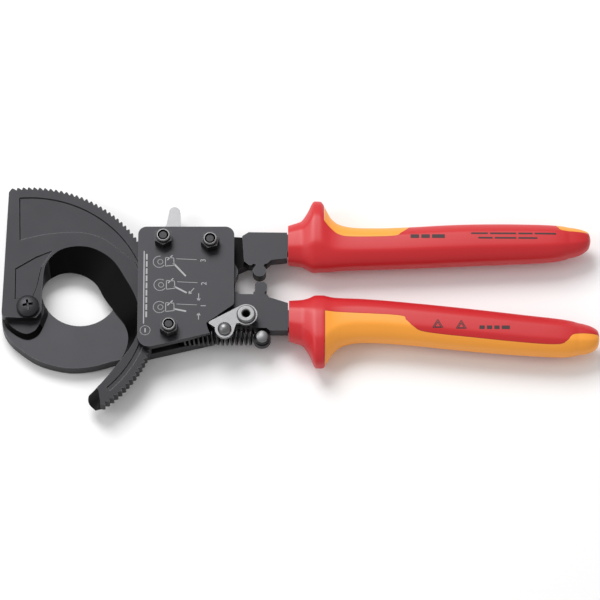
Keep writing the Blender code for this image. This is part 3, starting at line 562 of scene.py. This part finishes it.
@dataclass
class Blade:
    """The toothed moving blade with its ground bevel, panels and tail groove."""

    shop: Workshop
    rim_radius: float = 55.2
    tooth_depth: float = 1.1
    tooth_pitch: float = 2.4
    first_angle: float = -55.2
    teeth: int = 64
    bore_radius: float = 3.8
    panel_depth: float = 0.6
    panel_slope: float = 0.5
    cutting_edge: tuple[Point, ...] = (
        (5.6, 8.0), (6.0, 10.8), (8.4, 14.6), (14.5, 17.7), (21.5, 17.2), (27.9, 13.1),
        (32.0, 6.0), (36.5, -0.5), (40.6, -6.2), (42.0, -12.0), (40.6, -18.5),
        (36.0, -27.0), (30.5, -33.8))
    bevel_edge: tuple[Point, ...] = (
        (5.6, 8.0), (6.0, 10.9), (7.4, 20.0), (14.0, 26.6), (24.8, 27.6), (34.6, 22.2),
        (41.0, 12.6), (45.2, 4.2), (47.0, -3.8), (46.2, -11.5), (42.8, -19.0),
        (37.4, -26.6), (31.8, -34.0))

    def rim(self) -> list[Point]:
        """The teeth, counter-clockwise: steep flank ahead, slanted flank behind."""
        points = []
        for i in range(self.teeth):
            root = self.first_angle + i * self.tooth_pitch
            points.append(polar(self.rim_radius - self.tooth_depth, root))
            points.append(polar(self.rim_radius, root + 0.62 * self.tooth_pitch))
            points.append(polar(self.rim_radius, root + 0.82 * self.tooth_pitch))
        return points

    def body(self, bottom: float, top: float) -> bpy.types.Object:
        """The blade's plate with its slanted cutting bevel."""
        tail = self.rim_radius - 1.2
        low_tail = [polar(tail - 8.3, -53.0), polar(tail - 7.5, -56.4), polar(tail - 4.5, -58.2),
                    polar(tail - 0.6, -57.4)]
        high_tail = [polar(tail - 6.9, -51.2), polar(tail - 5.2, -51.9), polar(tail - 3.0, -53.3),
                     polar(tail - 0.6, -54.6)]
        cut = spline([*self.cutting_edge, *low_tail])
        crest = spline([*self.bevel_edge, *high_tail])
        side = [polar(self.rim_radius - 1.6, 99.6), (-9.0, 50.2), (-11.0, -2.3),
                *arc((-8.6, -2.3), 2.4, 190, 260, 8), (-4.0, -4.9), (3.5, -4.9), (5.6, -2.0)]
        rim = self.rim()
        return slab("ratchet_blade", self.shop.layout, rim + side + cut, rim + side + crest,
                    bottom, top)

    def panels(self, piece: bpy.types.Object, top: float) -> None:
        """Sinks the rim panel, the hub panel and the tail's groove into the face."""
        layout = self.shop.layout
        inner = spline([(-3.6, 31.2), (7.9, 33.9), (21.5, 34.6), (31.5, 31.6), (40.0, 24.8),
                        (45.5, 19.6), (48.4, 8.0)])
        rim_panel = arc((0, 0), self.rim_radius - 5.0, 5, 94.6, 2.0) + inner
        hub_panel = [(-5.2, 4.0), (1.8, 5.2), (3.2, 9.0), *spline([(5.2, 18.6), (9.5, 25.6)], 2),
                     (3.0, 22.6), (-5.2, 17.4)]
        outer = arc((0, 0), self.rim_radius - 3.9, -12, -47.5, 2.0)
        rib = arc((0, 0), self.rim_radius - 5.3, -47.5, -12, 2.0)
        for i, outline in enumerate((rim_panel, hub_panel, outer + rib)):
            wide = grown(outline, self.panel_slope)
            cutter = slab(f"panel_{i}", layout, outline, wide, top - self.panel_depth, top + 0.05)
            boolean(piece, cutter, "DIFFERENCE")

    def hub(self, piece: bpy.types.Object, bottom: float) -> None:
        """Adds the low step round the pivot and drills the bore."""
        step = spline([(8.0, 1.1), (8.2, -1.2), (7.0, -4.9), (5.3, -9.0), (3.4, -11.3),
                       (0.0, -12.6), (-3.6, -11.5), (-7.2, -8.9), (-9.6, -6.0), (-10.8, -1.0)])
        step += [(-8.0, 6.0), (4.8, 6.0)]
        crown = [(x * 0.86 - 0.5, y * 0.86 + 0.1) for x, y in step]
        boolean(piece, slab("step", self.shop.layout, step, crown, bottom, bottom + 1.9), "UNION")
        hole = arc((0, 0), self.bore_radius, 0, 352, 8)
        drill = slab("drill", self.shop.layout, hole, hole, bottom - 1, bottom + 8)
        boolean(piece, drill, "DIFFERENCE")

    def build(self) -> None:
        """Builds the blade, its ground faces included."""
        low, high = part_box("moving_blade")
        bottom, top = low.z / MM, high.z / MM
        piece = self.body(bottom, top)
        self.hub(piece, bottom)
        self.panels(piece, top)
        bm = bmesh.new()
        bm.from_mesh(piece.data)
        bmesh.ops.remove_doubles(bm, verts=bm.verts, dist=0.004 * MM)
        mesh = finished_mesh("ratchet_blade", bm, 20.0)
        piece.data = mesh
        # Paints light and shade: panel walls facing +Y get a painted highlight, and the slanted
        # ground-bevel faces get near-black painted shade and dark reflection.
        dress(piece, HARDENED, SHADE_BLACK, LIT_EDGE)
        pivot = self.shop.layout.pivot
        for polygon in mesh.polygons:
            away = (polygon.center - pivot).xy.length / MM
            slanted = 0.15 < polygon.normal.z < 0.93
            tall = polygon.center.z / MM > bottom + 2.0
            tail_end = math.degrees(math.atan2(polygon.center.y - pivot.y,
                                               polygon.center.x - pivot.x)) < -50
            deep = away > 12.0 and away < self.rim_radius - 4.0
            wall = polygon.center.z / MM > top - self.panel_depth - 0.05
            past_hub = polygon.center.x - pivot.x > 9.0 * MM
            if slanted and wall and polygon.normal.y > 0.2 and away > 18.0:
                polygon.material_index = 2
            elif slanted and not wall and (tail_end or deep and tall and past_hub):
                polygon.material_index = 1
        bevelled(piece, 0.14, 2, 20.0)
        settle(piece, Body.BLADE, Slot.BLADE, "moving_blade")


# Head: forging, cover, screw, nuts, levers


@dataclass
class Head:
    """The fixed head: forging, cover, pivot, bolts and nuts."""

    shop: Workshop
    plate_edge: float = 0.4
    nut_edge: float = 0.28
    # Corners of the box of forging faces that get painted shade.
    shaded_recess_low: Spot = (70.0, 10.0, 5.4)
    shaded_recess_high: Spot = (101.0, 36.0, 10.8)
    screw_head: float = 2.6
    head_rim: float = 0.9
    cross: Point = (2.5, 0.6)
    cross_depth: float = 1.9

    def plates(self) -> None:
        """The forging and the cover with their tumbled edges."""
        forging = self.shop.eased("frame_and_jaw", "jaw_forging", Body.FRAME, Slot.BURNISHED,
                                  BURNISHED, self.plate_edge, 3)
        dress(forging, BURNISHED, SHADE_BLACK)
        low = self.shop.layout.at(*self.shaded_recess_low)
        high = self.shop.layout.at(*self.shaded_recess_high)
        # Paints shade: forging faces inside the box, under the cover's edge and on the joggle to
        # the arm, take the near-black colour.
        for polygon in forging.data.polygons:
            if all(a < b < c for a, b, c in zip(low, polygon.center, high)):
                polygon.material_index = 1
        self.shop.eased("front_cover", "cover_plate", Body.FRAME, Slot.BURNISHED, BURNISHED,
                        self.plate_edge, 3)

    def pivot_screw(self) -> None:
        """The pan-headed screw with its cross recess."""
        middle, radius, bottom, top = self.shop.size("pivot_screw")
        shank = radius * 0.53
        under = top - self.screw_head
        rim = under + self.head_rim
        profile = [(0.0, bottom), (shank, bottom), (shank, under), (radius - 0.2, under),
                   (radius, under + 0.2), (radius, rim)]
        for degrees in range(6, 90, 7):
            x, rise = polar(1.0, degrees)
            profile.append((radius * x, rim + (self.screw_head - self.head_rim) * rise))
        profile.append((0.0, top))
        screw = turned("pivot_screw_domed", middle, profile)
        layout = self.shop.layout
        for turn in (10, 100):
            long, wide = self.cross
            corners = [(-long, -wide), (long, -wide), (long, wide), (-long, wide)]
            rotated = [tuple(Matrix.Rotation(math.radians(turn), 2) @ Vector(c)) for c in corners]
            narrow = [(x * 0.55, y * 0.8) for x, y in rotated]
            cutter = slab("recess", layout, narrow, rotated, top - self.cross_depth, top + 0.3)
            boolean(screw, cutter, "DIFFERENCE")
        soften(screw.data, 30.0)
        bevelled(screw, 0.1, 2, 40.0)
        dress(screw, BURNISHED)
        settle(screw, Body.FRAME, Slot.BURNISHED, "pivot_screw")

    def fasteners(self) -> None:
        """The bolts and lock nuts of the cover, and the plain inner pieces."""
        for place in ("lower", "upper_left", "upper_right"):
            nut = self.shop.eased(f"cover_nut_{place}", f"lock_nut_{place}", Body.FRAME, Slot.BLACK,
                                  BLACK, self.nut_edge, 3)
            dress(nut, BLACK, CROWN_HIGHLIGHT)
            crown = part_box(f"cover_nut_{place}")[1].z - 0.5 * MM
            # Paints a highlight: the crown's upward faces take the lighter colour.
            for polygon in nut.data.polygons:
                if polygon.normal.z > 0.5 and polygon.center.z > crown:
                    polygon.material_index = 1
            self.shop.eased(f"cover_bolt_{place}", f"head_bolt_{place}", Body.FRAME, Slot.BLACK,
                            BLACK, 0.18)
        for node in ("pivot_bush", "release_lever_bush", "handle_bush", "lower_spacer",
                     "release_spring_pin"):
            dress(self.shop.nodes[node], ZINC)
        dress(self.shop.nodes["pivot_nut"], BLACK)

    def build(self) -> None:
        """Builds the whole head."""
        self.plates()
        self.pivot_screw()
        self.fasteners()


@dataclass
class Levers:
    """The moving arm, both pawls' levers, the lock lever and its round pieces."""

    shop: Workshop

    def round_piece(self, node: str, name: str, body: Body, shares: Iterable[Point],
                    finish: Finish = ZINC) -> None:
        """A round piece from shares of its node's radius and height."""
        middle, radius, bottom, top = self.shop.size(node)
        profile = [(radius * r, bottom + (top - bottom) * h) for r, h in shares]
        piece = turned(name, middle, profile)
        dress(piece, finish)
        settle(piece, body, Slot.ZINC, node)

    def build(self) -> None:
        """Builds the levers and dresses the plain pins."""
        shop = self.shop
        shop.eased("moving_arm", "moving_arm_forging", Body.HANDLE, Slot.BURNISHED, BURNISHED,
                   0.35, 3)
        shop.eased("drive_pawl", "drive_pawl_milled", Body.DRIVE_PAWL, Slot.BLACK, BLACK, 0.2)
        shop.eased("release_lever", "release_tongue", Body.RELEASE, Slot.ZINC, ZINC, 0.4, 3)
        shop.eased("lock_lever", "lock_lever_stamping", Body.LOCK, Slot.ZINC, ZINC, 0.3, 3)
        dome = [(math.cos(math.radians(a)), 0.45 + 0.55 * math.sin(math.radians(a)))
                for a in range(0, 90, 9)]
        knob = [(0.0, 0.0), (0.86, 0.0), (0.98, 0.05), (1.0, 0.15), *dome, (0.0, 1.0)]
        self.round_piece("lock_lever_knob", "lock_lever_button", Body.LOCK, knob)
        stud = [(0.0, 0.0), (0.95, 0.0), (1.0, 0.02), (1.0, 0.93), (0.95, 0.975), (0.86, 1.0),
                (0.0, 1.0)]
        self.round_piece("spring_post", "spring_stud", Body.HANDLE, stud)
        shop.eased("lock_lever_rivet", "lock_lever_eyelet", Body.HANDLE, Slot.ZINC, ZINC, 0.35, 3)
        for node in ("drive_pawl_pin", "lock_lever_spacer"):
            dress(shop.nodes[node], ZINC)


@dataclass
class Springs:
    """The return spring and the two small pawl springs."""

    shop: Workshop
    wire_radius: float = 0.5
    coil_radius: float = 3.05
    pitch: float = 2.0
    points_per_turn: int = 22
    coil_level: float = 8.55
    hook_level: float = 9.4
    axis_y: float = -12.7
    first_x: float = 65.0
    last_x: float = 94.2
    still_x: float = 62.0
    carried_x: float = 95.0
    spacer: Point = (59.2, -11.5)
    spacer_hook: float = 4.1
    stud: Point = (98.1, -13.2)
    stud_hook: float = 2.7

    def coil(self) -> list[Spot]:
        """The return spring's helix between its hooks."""
        start = Vector((self.first_x, self.axis_y, self.coil_level))
        along = Vector((self.last_x, self.axis_y, self.coil_level)) - start
        side = Vector((-along.y, along.x, 0)).normalized()
        count = round(along.x / self.pitch) * self.points_per_turn
        path = []
        for i in range(count + 1):
            angle = 2 * math.pi * i / self.points_per_turn
            place = start + along * (i / count) + side * (self.coil_radius * math.cos(angle))
            path.append((place.x, place.y, place.z + self.coil_radius * math.sin(angle)))
        return path

    def stretch(self, piece: bpy.types.Object, node: str, bodies: tuple[Body, Body], start: Vector,
                end: Vector) -> None:
        """Gives a spring its wire finish, bakes its place and hides its node."""
        dress(piece, WIRE)
        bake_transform(piece)
        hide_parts(node)
        LOG.info("%s bends from %s to %s", piece.name, bodies[0].value, bodies[1].value)

    def return_spring(self) -> None:
        """The long extension spring with its two hooks."""
        left = arc(self.spacer, self.spacer_hook, 330, 20, 8)
        right = arc(self.stud, self.stud_hook, 165, -150, 10)
        path = [(*point, self.hook_level) for point in left] + self.coil()
        path += [(*point, self.hook_level) for point in right]
        layout = self.shop.layout
        piece = wire("return_spring_wire", layout, path, self.wire_radius)
        self.stretch(piece, "return_spring", (Body.FRAME, Body.HANDLE),
                     layout.at(self.still_x, self.axis_y, self.coil_level),
                     layout.at(self.carried_x, self.axis_y, self.coil_level))

    def pawl_spring(self) -> None:
        """The drive pawl's small spring, copied from its node."""
        low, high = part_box("drive_pawl_spring")
        middle = (low + high) / 2
        piece = linked("drive_pawl_coil", self.shop.nodes["drive_pawl_spring"].data.copy())
        self.stretch(piece, "drive_pawl_spring", (Body.HANDLE, Body.DRIVE_PAWL),
                     Vector((high.x, middle.y, middle.z)), Vector((low.x, middle.y, middle.z)))

    def build(self) -> None:
        """Builds the return spring and the drive pawl's spring, and dresses the release lever's
        spring.
        """
        self.return_spring()
        self.pawl_spring()
        dress(self.shop.nodes["release_lever_spring"], WIRE)


# Grips


@dataclass
class Grip:
    """A red grip with flush yellow inlays.

    Args:
        shop: what every sub-assembly needs.
        side: "fixed" or "moving".
        body: the body that it rides on.
        collar_x: where the collar starts.
        middle_y: the arm's middle line.
        length: the grip's length.
        stations: share of length, centre offset, half width and half depth.
        borders: the border line of each yellow inlay, from the collar and the middle line.
        outward: +1 where the yellow lies above the borders, -1 below.
    """

    shop: Workshop
    side: str
    body: Body
    collar_x: float
    middle_y: float
    length: float
    stations: Sequence[Station]
    borders: Sequence[Sequence[Point]]
    outward: float
    middle_z: float = 8.55
    sides: int = 72
    step: float = 0.75
    power: float = 3.0
    facet: float = 0.40
    facet_fall: float = 0.46
    tip_round: float = 0.9
    seam: float = 0.14

    def straight(self, distance: float) -> Vector:
        """(offset, half width, half depth) at a distance, on straight lines between stations."""
        share = min(max(distance / self.length, 0.0), 1.0)
        for before, after in zip(self.stations, self.stations[1:]):
            if share <= after[0]:
                t = (share - before[0]) / (after[0] - before[0])
                return Vector(before[1:]).lerp(Vector(after[1:]), t)
        return Vector(self.stations[-1][1:])

    def section(self, distance: float) -> Vector:
        """The section at a distance, with the stations' corners rounded off."""
        reach = 0.7 if distance < 17.0 else min(9.0, 0.7 + (distance - 17.0) * 0.45)
        reach = min(reach, distance, max(self.length - distance, 0.0))
        samples = 9
        total = Vector((0.0, 0.0, 0.0))
        for i in range(samples):
            total += self.straight(distance + reach * (2 * i / (samples - 1) - 1))
        return total / samples

    def ring(self, distance: float, shrink: float) -> list[Vector]:
        """One ring of the grip's skin."""
        offset, width, depth = self.section(min(distance, self.length))
        points = []
        for k in range(self.sides):
            angle = 2 * math.pi * k / self.sides
            c, s = math.cos(angle), math.sin(angle)
            u = math.copysign(abs(c) ** (2 / self.power), c)
            fall = 1 - self.facet_fall * max(0.0, abs(u) - self.facet)
            up = math.copysign(abs(s) ** (2 / self.power), s) * fall
            points.append(self.shop.layout.at(
                self.collar_x + distance, self.middle_y + offset + u * width * shrink,
                self.middle_z + up * depth * shrink))
        return points

    def loft(self, name: str) -> bpy.types.Object:
        """The whole grip as one closed skin."""
        bm = bmesh.new()
        count = round(self.length / self.step)
        distances = [(self.length * i / count, 1.0) for i in range(count)]
        for degrees in (15, 30, 45, 60, 75, 86):
            shrink, rise = polar(1.0, degrees)
            distances.append((self.length - self.tip_round * (1 - rise), shrink))
        rings = [[bm.verts.new(p) for p in self.ring(d, s)] for d, s in distances]
        for ring, following in zip(rings, rings[1:]):
            for k in range(self.sides):
                j = (k + 1) % self.sides
                bm.faces.new((ring[k], ring[j], following[j], following[k]))
        bm.faces.new(rings[0][::-1])
        bm.faces.new(rings[-1])
        return linked(name, finished_mesh(name, bm))

    def window(self, border: Sequence[Point], shrink: float) -> bpy.types.Object:
        """A block through the grip on the yellow side of a border."""
        line = spline(border, 6)
        line = [(x + self.collar_x, y + self.middle_y + self.outward * shrink) for x, y in line]
        line[0] = (line[0][0] + shrink, line[0][1])
        line[-1] = (line[-1][0] - shrink, line[-1][1])
        far = self.middle_y + self.outward * 34.0
        outline = [*line, (line[-1][0], far), (line[0][0], far)]
        return slab("window", self.shop.layout, outline, outline, -6.0, 26.0)

    def skin_level(self, x: float, y: float) -> float:
        """The height in millimetres of the grip's front skin over a point."""
        offset, width, depth = self.section(x - self.collar_x)
        u = min(abs(y - self.middle_y - offset) / width, 0.98)
        fall = 1 - self.facet_fall * max(0.0, u - self.facet)
        return self.middle_z + depth * (1 - u ** self.power) ** (1 / self.power) * fall

    def mark(self, name: str, paths: Sequence[Sequence[Point]], width: float) -> None:
        """Prints thin dark lines on the skin.

        Args:
            name: the new piece's name.
            paths: the lines, in millimetres round the blade's pivot.
            width: how wide a line is.
        """
        bm = bmesh.new()
        for path in paths:
            for start, end in zip(path, path[1:]):
                count = max(1, round((Vector(end) - Vector(start)).length / 0.8))
                line = [Vector(start).lerp(Vector(end), i / count) for i in range(count + 1)]
                along = (Vector(end) - Vector(start)).normalized() * width / 2
                across = Vector((-along.y, along.x))
                rims = []
                for height in (0.02, 0.06):
                    for side in (across, -across):
                        rims.append([bm.verts.new(self.shop.layout.at(
                            *(p + side), self.skin_level(*(p + side)) + height)) for p in line])
                low_left, low_right, left, right = rims
                for i in range(count):
                    for a, b in ((left, right), (low_right, low_left), (low_left, left),
                                 (right, low_right)):
                        bm.faces.new((a[i], a[i + 1], b[i + 1], b[i]))
                for i in (0, count):
                    bm.faces.new((left[i], right[i], low_right[i], low_left[i]))
        piece = linked(name, finished_mesh(name, bm))
        dress(piece, MARKING)
        settle(piece, self.body, Slot.RED)

    def build(self) -> None:
        """Builds the red moulding and its yellow inlays."""
        red = self.loft(f"{self.side}_grip_red")
        yellow = None
        for border in self.borders:
            boolean(red, self.window(border, 0.0), "DIFFERENCE")
            inlay = self.loft(f"{self.side}_grip_yellow")
            boolean(inlay, self.window(border, self.seam), "INTERSECT")
            if yellow is None:
                yellow = inlay
            else:
                bm = bmesh.new()
                bm.from_mesh(yellow.data)
                bm.from_mesh(inlay.data)
                bm.to_mesh(yellow.data)
                bm.free()
                bpy.data.objects.remove(inlay)
        for piece, finish, slot, node in ((red, RED, Slot.RED, "sleeve"),
                                          (yellow, YELLOW, Slot.YELLOW, "core")):
            soften(piece.data, 40.0)
            bevelled(piece, 0.12, 2, 50.0)
            dress(piece, finish)
            settle(piece, self.body, slot, f"{self.side}_grip_{node}")


def fixed_grip(shop: Workshop) -> Grip:
    """The upper grip: yellow behind the guard and at the end."""
    stations = (
        (0.0, 0.9, 8.5, 6.4), (0.045, 1.5, 9.9, 6.8), (0.066, 2.9, 12.8, 7.8),
        (0.082, 4.9, 15.9, 8.5), (0.112, 5.0, 15.6, 8.5), (0.142, 0.9, 11.4, 7.4),
        (0.176, -0.5, 9.5, 7.0), (0.25, -0.8, 8.8, 7.0), (0.39, -0.3, 8.8, 7.1),
        (0.54, 0.8, 9.0, 7.1), (0.68, 1.4, 8.8, 6.9), (0.8, 1.6, 8.4, 6.7),
        (0.9, 1.8, 7.8, 6.4), (0.95, 2.1, 6.7, 5.8), (0.985, 2.8, 4.6, 4.3),
        (1.0, 3.2, 2.2, 2.4))
    behind_guard = [(15.2, 9.0), (15.2, 8.9), (18.0, 5.6), (21.5, 2.9), (27.0, 2.0), (44.0, 2.3),
                    (47.5, 4.0), (50.5, 7.0), (54.0, 12.0)]
    end_patch = [(111.5, 12.0), (113.5, 7.6), (116.5, 5.4), (130.4, 5.2)]
    return Grip(shop, "fixed", Body.FRAME, 109.0, 28.4, 127.4, stations,
                (behind_guard, end_patch), 1.0)


def moving_grip(shop: Workshop) -> Grip:
    """The lower grip: yellow along its outer side from the guard to the end."""
    stations = (
        (0.0, -0.9, 8.7, 6.4), (0.045, -1.7, 9.9, 6.8), (0.066, -3.4, 12.4, 7.8),
        (0.082, -5.8, 16.0, 8.5), (0.112, -5.8, 16.0, 8.5), (0.142, -2.8, 12.0, 7.4),
        (0.176, -1.0, 9.9, 7.0), (0.25, -0.6, 9.2, 7.0), (0.39, -2.2, 9.0, 7.1),
        (0.54, -4.4, 9.1, 7.1), (0.68, -6.4, 8.9, 6.9), (0.8, -8.0, 8.5, 6.7),
        (0.9, -9.0, 8.1, 6.5), (0.95, -9.4, 7.2, 5.9), (0.985, -9.3, 5.0, 4.4),
        (1.0, -9.0, 2.4, 2.4))
    border = [(15.0, 0.6), (45.0, -1.0), (49.0, -3.2), (52.5, -6.4), (58.0, -8.4), (80.0, -11.0),
              (100.0, -13.0), (112.5, -13.6), (116.5, -12.0), (120.0, -9.0), (133.0, -8.6)]
    return Grip(shop, "moving", Body.HANDLE, 109.4, -4.5, 130.0, stations, (border,), -1.0)


def triangles(x: float, y: float, size: float) -> list[list[Point]]:
    """Two triangles, one standing in the other."""
    pair = []
    for lift, scale in ((0.0, 1.0), (-0.12, 0.62)):
        half, foot = size * scale, y - size * (0.8 + lift)
        corners = [(x - half, foot), (x + half, foot), (x, foot + half * 1.7)]
        pair.append([*corners, corners[0]])
    return pair


def dashes(x: float, y: float, widths: Sequence[float]) -> list[list[Point]]:
    """A row of short bars with even gaps."""
    row = []
    for width in widths:
        row.append([(x, y), (x + width, y)])
        x += width + 0.9
    return row


def mark_grips(upper: Grip, lower: Grip) -> None:
    """Prints plain signs on both grips."""
    upper.mark("upper_bars", dashes(160.5, 30.6, (3.6, 3.6, 5.4)), 1.7)
    small = dashes(186.0, 32.0, (7.0, 11.0, 6.0, 9.0)) + dashes(189.0, 29.9, (6.0, 9.0, 8.0))
    upper.mark("upper_rows", small, 0.75)
    signs = triangles(171.6, -9.6, 2.1) + triangles(181.4, -10.0, 2.1)
    lower.mark("lower_signs", signs, 0.35)
    lower.mark("lower_bars", dashes(189.0, -11.2, (2.2, 2.2, 2.2, 3.4)), 1.6)


# Markings


@dataclass
class CoverMarkings:
    """Plain pictograms, leader lines and step numbers printed on the cover."""

    shop: Workshop
    line_width: float = 0.28
    thickness: float = 0.03
    print_count: int = 0

    def strip(self, bm: bmesh.types.BMesh, path: Sequence[Point], level: float, closed: bool,
              width: float | None = None) -> None:
        """Adds a thin raised line along a path."""
        half = (width or self.line_width) / 2
        pairs = list(zip(path, path[1:] + path[:1] if closed else path[1:]))
        for a, b in pairs:
            along = (Vector(b) - Vector(a)).normalized() * half
            across = Vector((-along.y, along.x))
            corners = [Vector(a) - along * 0.6 + across, Vector(a) - along * 0.6 - across,
                       Vector(b) + along * 0.6 - across, Vector(b) + along * 0.6 + across]
            low = [bm.verts.new(self.shop.layout.at(*c, level)) for c in corners]
            high = [bm.verts.new(self.shop.layout.at(*c, level + self.thickness)) for c in corners]
            bm.faces.new(low)
            bm.faces.new(high[::-1])
            for i in range(4):
                j = (i + 1) % 4
                bm.faces.new((low[i], high[i], high[j], low[j]))

    def pictogram(self, bm: bmesh.types.BMesh, x: float, y: float, level: float,
                  open_by: float) -> None:
        """A small outline of an open tool with one hand lever."""
        jaw = arc((x, y), 2.6, 40 + open_by, 320, 20)
        self.strip(bm, jaw, level, False)
        self.strip(bm, arc((x + 0.4, y), 1.1, 0, 330, 30), level, True)
        head = [(x + 2.6, y + 2.0), (x + 6.0, y + 1.8), (x + 6.2, y - 1.6), (x + 2.6, y - 2.0)]
        self.strip(bm, head, level, True)
        lever = [(x + 6.0, y - 0.8), (x + 11.0, y - 1.4 - open_by * 0.12)]
        self.strip(bm, lever, level, False, 0.7)
        self.strip(bm, [(x + 3.4, y + 0.9), (x + 5.4, y + 2.9)], level, False, 0.45)

    def arrow(self, bm: bmesh.types.BMesh, tail: Point, tip: Point, level: float) -> None:
        """A short arrow from its tail to its tip."""
        along = (Vector(tip) - Vector(tail)).normalized()
        across = Vector((-along.y, along.x))
        self.strip(bm, [tail, tip], level, False, 0.3)
        for side in (1, -1):
            barb = Vector(tip) - along * 1.1 + across * 0.6 * side
            self.strip(bm, [tuple(barb), tip], level, False, 0.35)

    def number(self, digit: str, x: float, y: float, level: float) -> None:
        """A step number, turned to be read from the side."""
        self.print_count += 1
        text = bpy.data.curves.new(f"step_number_{self.print_count}", "FONT")
        text.body = digit
        text.size = 3.2 * MM
        text.extrude = self.thickness / 2 * MM
        text.align_x = "CENTER"
        piece = bpy.data.objects.new(text.name, text)
        bpy.context.scene.collection.objects.link(piece)
        piece.location = self.shop.layout.at(x, y, level + self.thickness / 2)
        piece.rotation_euler.z = math.radians(90)
        dress(piece, PRINT)
        settle(piece, Body.FRAME, Slot.BURNISHED)

    def build(self) -> None:
        """Prints the cover."""
        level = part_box("front_cover")[1].z / MM + 0.005
        bm = bmesh.new()
        self.strip(bm, [(48.6, -9.0), (48.6, 24.0)], level, False, 0.45)
        for i in range(9):
            y = -6.0 + i * 3.3
            self.strip(bm, [(49.7, y), (49.7, y + 2.2)], level, False, 0.7)
        self.strip(bm, arc((49.3, -12.2), 2.1, 0, 345, 15), level, True, 0.3)
        self.strip(bm, [(49.3, -13.0), (49.3, -11.4)], level, False, 0.5)
        rows = ((55.0, 19.2, 42.0), (55.4, 8.6, 18.0), (55.2, -1.6, 4.0))
        for digit, (x, y, open_by) in zip("321", rows):
            self.pictogram(bm, x, y, level, open_by)
            self.strip(bm, [(x + 7.2, y + 1.4), (x + 15.6, y + 1.0)], level, False, 0.2)
            self.number(digit, x + 19.4, y + 0.6, level)
        self.arrow(bm, (69.6, 7.0), (67.4, 4.4), level)
        self.arrow(bm, (71.6, 4.6), (71.6, 1.2), level)
        self.arrow(bm, (71.6, -7.2), (71.6, -4.2), level)
        piece = linked("cover_print", finished_mesh("cover_print", bm, 30.0))
        dress(piece, PRINT)
        settle(piece, Body.FRAME, Slot.BURNISHED)


# Studio


@dataclass(frozen=True)
class Studio:
    """Pale floor, soft lights and the camera.

    Args:
        target: the point that the camera looks at.
        span: how much of the tool's plane fits across the picture, in metres.
        elevation: the camera's height above the tool's plane, in degrees.
        lens: the lens in millimetres.
    """

    target: Vector
    span: float = 0.2521
    elevation: float = 66.0
    lens: float = 400.0

    def floor(self) -> None:
        """A wide pale floor under the tool."""
        bm = bmesh.new()
        for x, y in ((-3, -3), (3, -3), (3, 3), (-3, 3)):
            bm.verts.new((x, y, -0.0006))
        bm.faces.new(bm.verts)
        floor = linked("floor", finished_mesh("floor", bm))
        pale = bpy.data.materials.new("pale_floor")
        pale.use_nodes = True
        shader = pale.node_tree.nodes["Principled BSDF"]
        shader.inputs["Base Color"].default_value = (0.93, 0.93, 0.93, 1)
        shader.inputs["Roughness"].default_value = 0.9
        floor.data.materials.append(pale)

    def light(self, name: str, place: Point, height: float, size: float, power: float) -> None:
        """A square soft light that faces the target."""
        lamp = bpy.data.lights.new(name, "AREA")
        lamp.shape = "SQUARE"
        lamp.size = size
        lamp.energy = power
        holder = bpy.data.objects.new(name, lamp)
        bpy.context.scene.collection.objects.link(holder)
        holder.location = (*place, height)
        aim = self.target - holder.location
        holder.rotation_euler = aim.to_track_quat("-Z", "Y").to_euler()

    def build(self) -> None:
        """Builds the studio."""
        self.floor()
        world = bpy.data.worlds.new("studio")
        world.use_nodes = True
        backdrop = world.node_tree.nodes["Background"]
        backdrop.inputs["Color"].default_value = (1.0, 1.0, 1.0, 1)
        backdrop.inputs["Strength"].default_value = 0.55
        bpy.context.scene.world = world
        self.light("top_light", (-0.35, 0.75), 1.05, 0.7, 13.0)
        self.light("side_light", (-0.9, -0.1), 0.8, 0.5, 2.5)
        camera = bpy.data.cameras.new("camera")
        camera.lens = self.lens
        holder = bpy.data.objects.new("camera", camera)
        bpy.context.scene.collection.objects.link(holder)
        distance = self.span * self.lens / camera.sensor_width
        tilt = math.radians(self.elevation)
        away = Vector((0, -math.cos(tilt), math.sin(tilt)))
        holder.location = self.target + away * distance
        holder.rotation_euler = (-away).to_track_quat("-Z", "Y").to_euler()
        bpy.context.scene.camera = holder


def main() -> None:
    """Builds the tool's looks."""
    logging.basicConfig(level=logging.INFO, format="%(name)s: %(message)s")
    bpy.context.scene.view_settings.view_transform = "Standard"
    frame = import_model()
    swing = next(j for j in frame["joints"] if j["name"] == "blade_swing")
    layout = Layout(Vector(swing["pos_m"]))
    shop = Workshop(layout, frame["nodes"])
    Studio(layout.at(114.03, 5.7, 5.5)).build()
    Head(shop).build()
    Blade(shop).build()
    Levers(shop).build()
    Springs(shop).build()
    upper, lower = fixed_grip(shop), moving_grip(shop)
    upper.build()
    lower.build()
    mark_grips(upper, lower)
    CoverMarkings(shop).build()


if __name__ == "__main__":
    main()
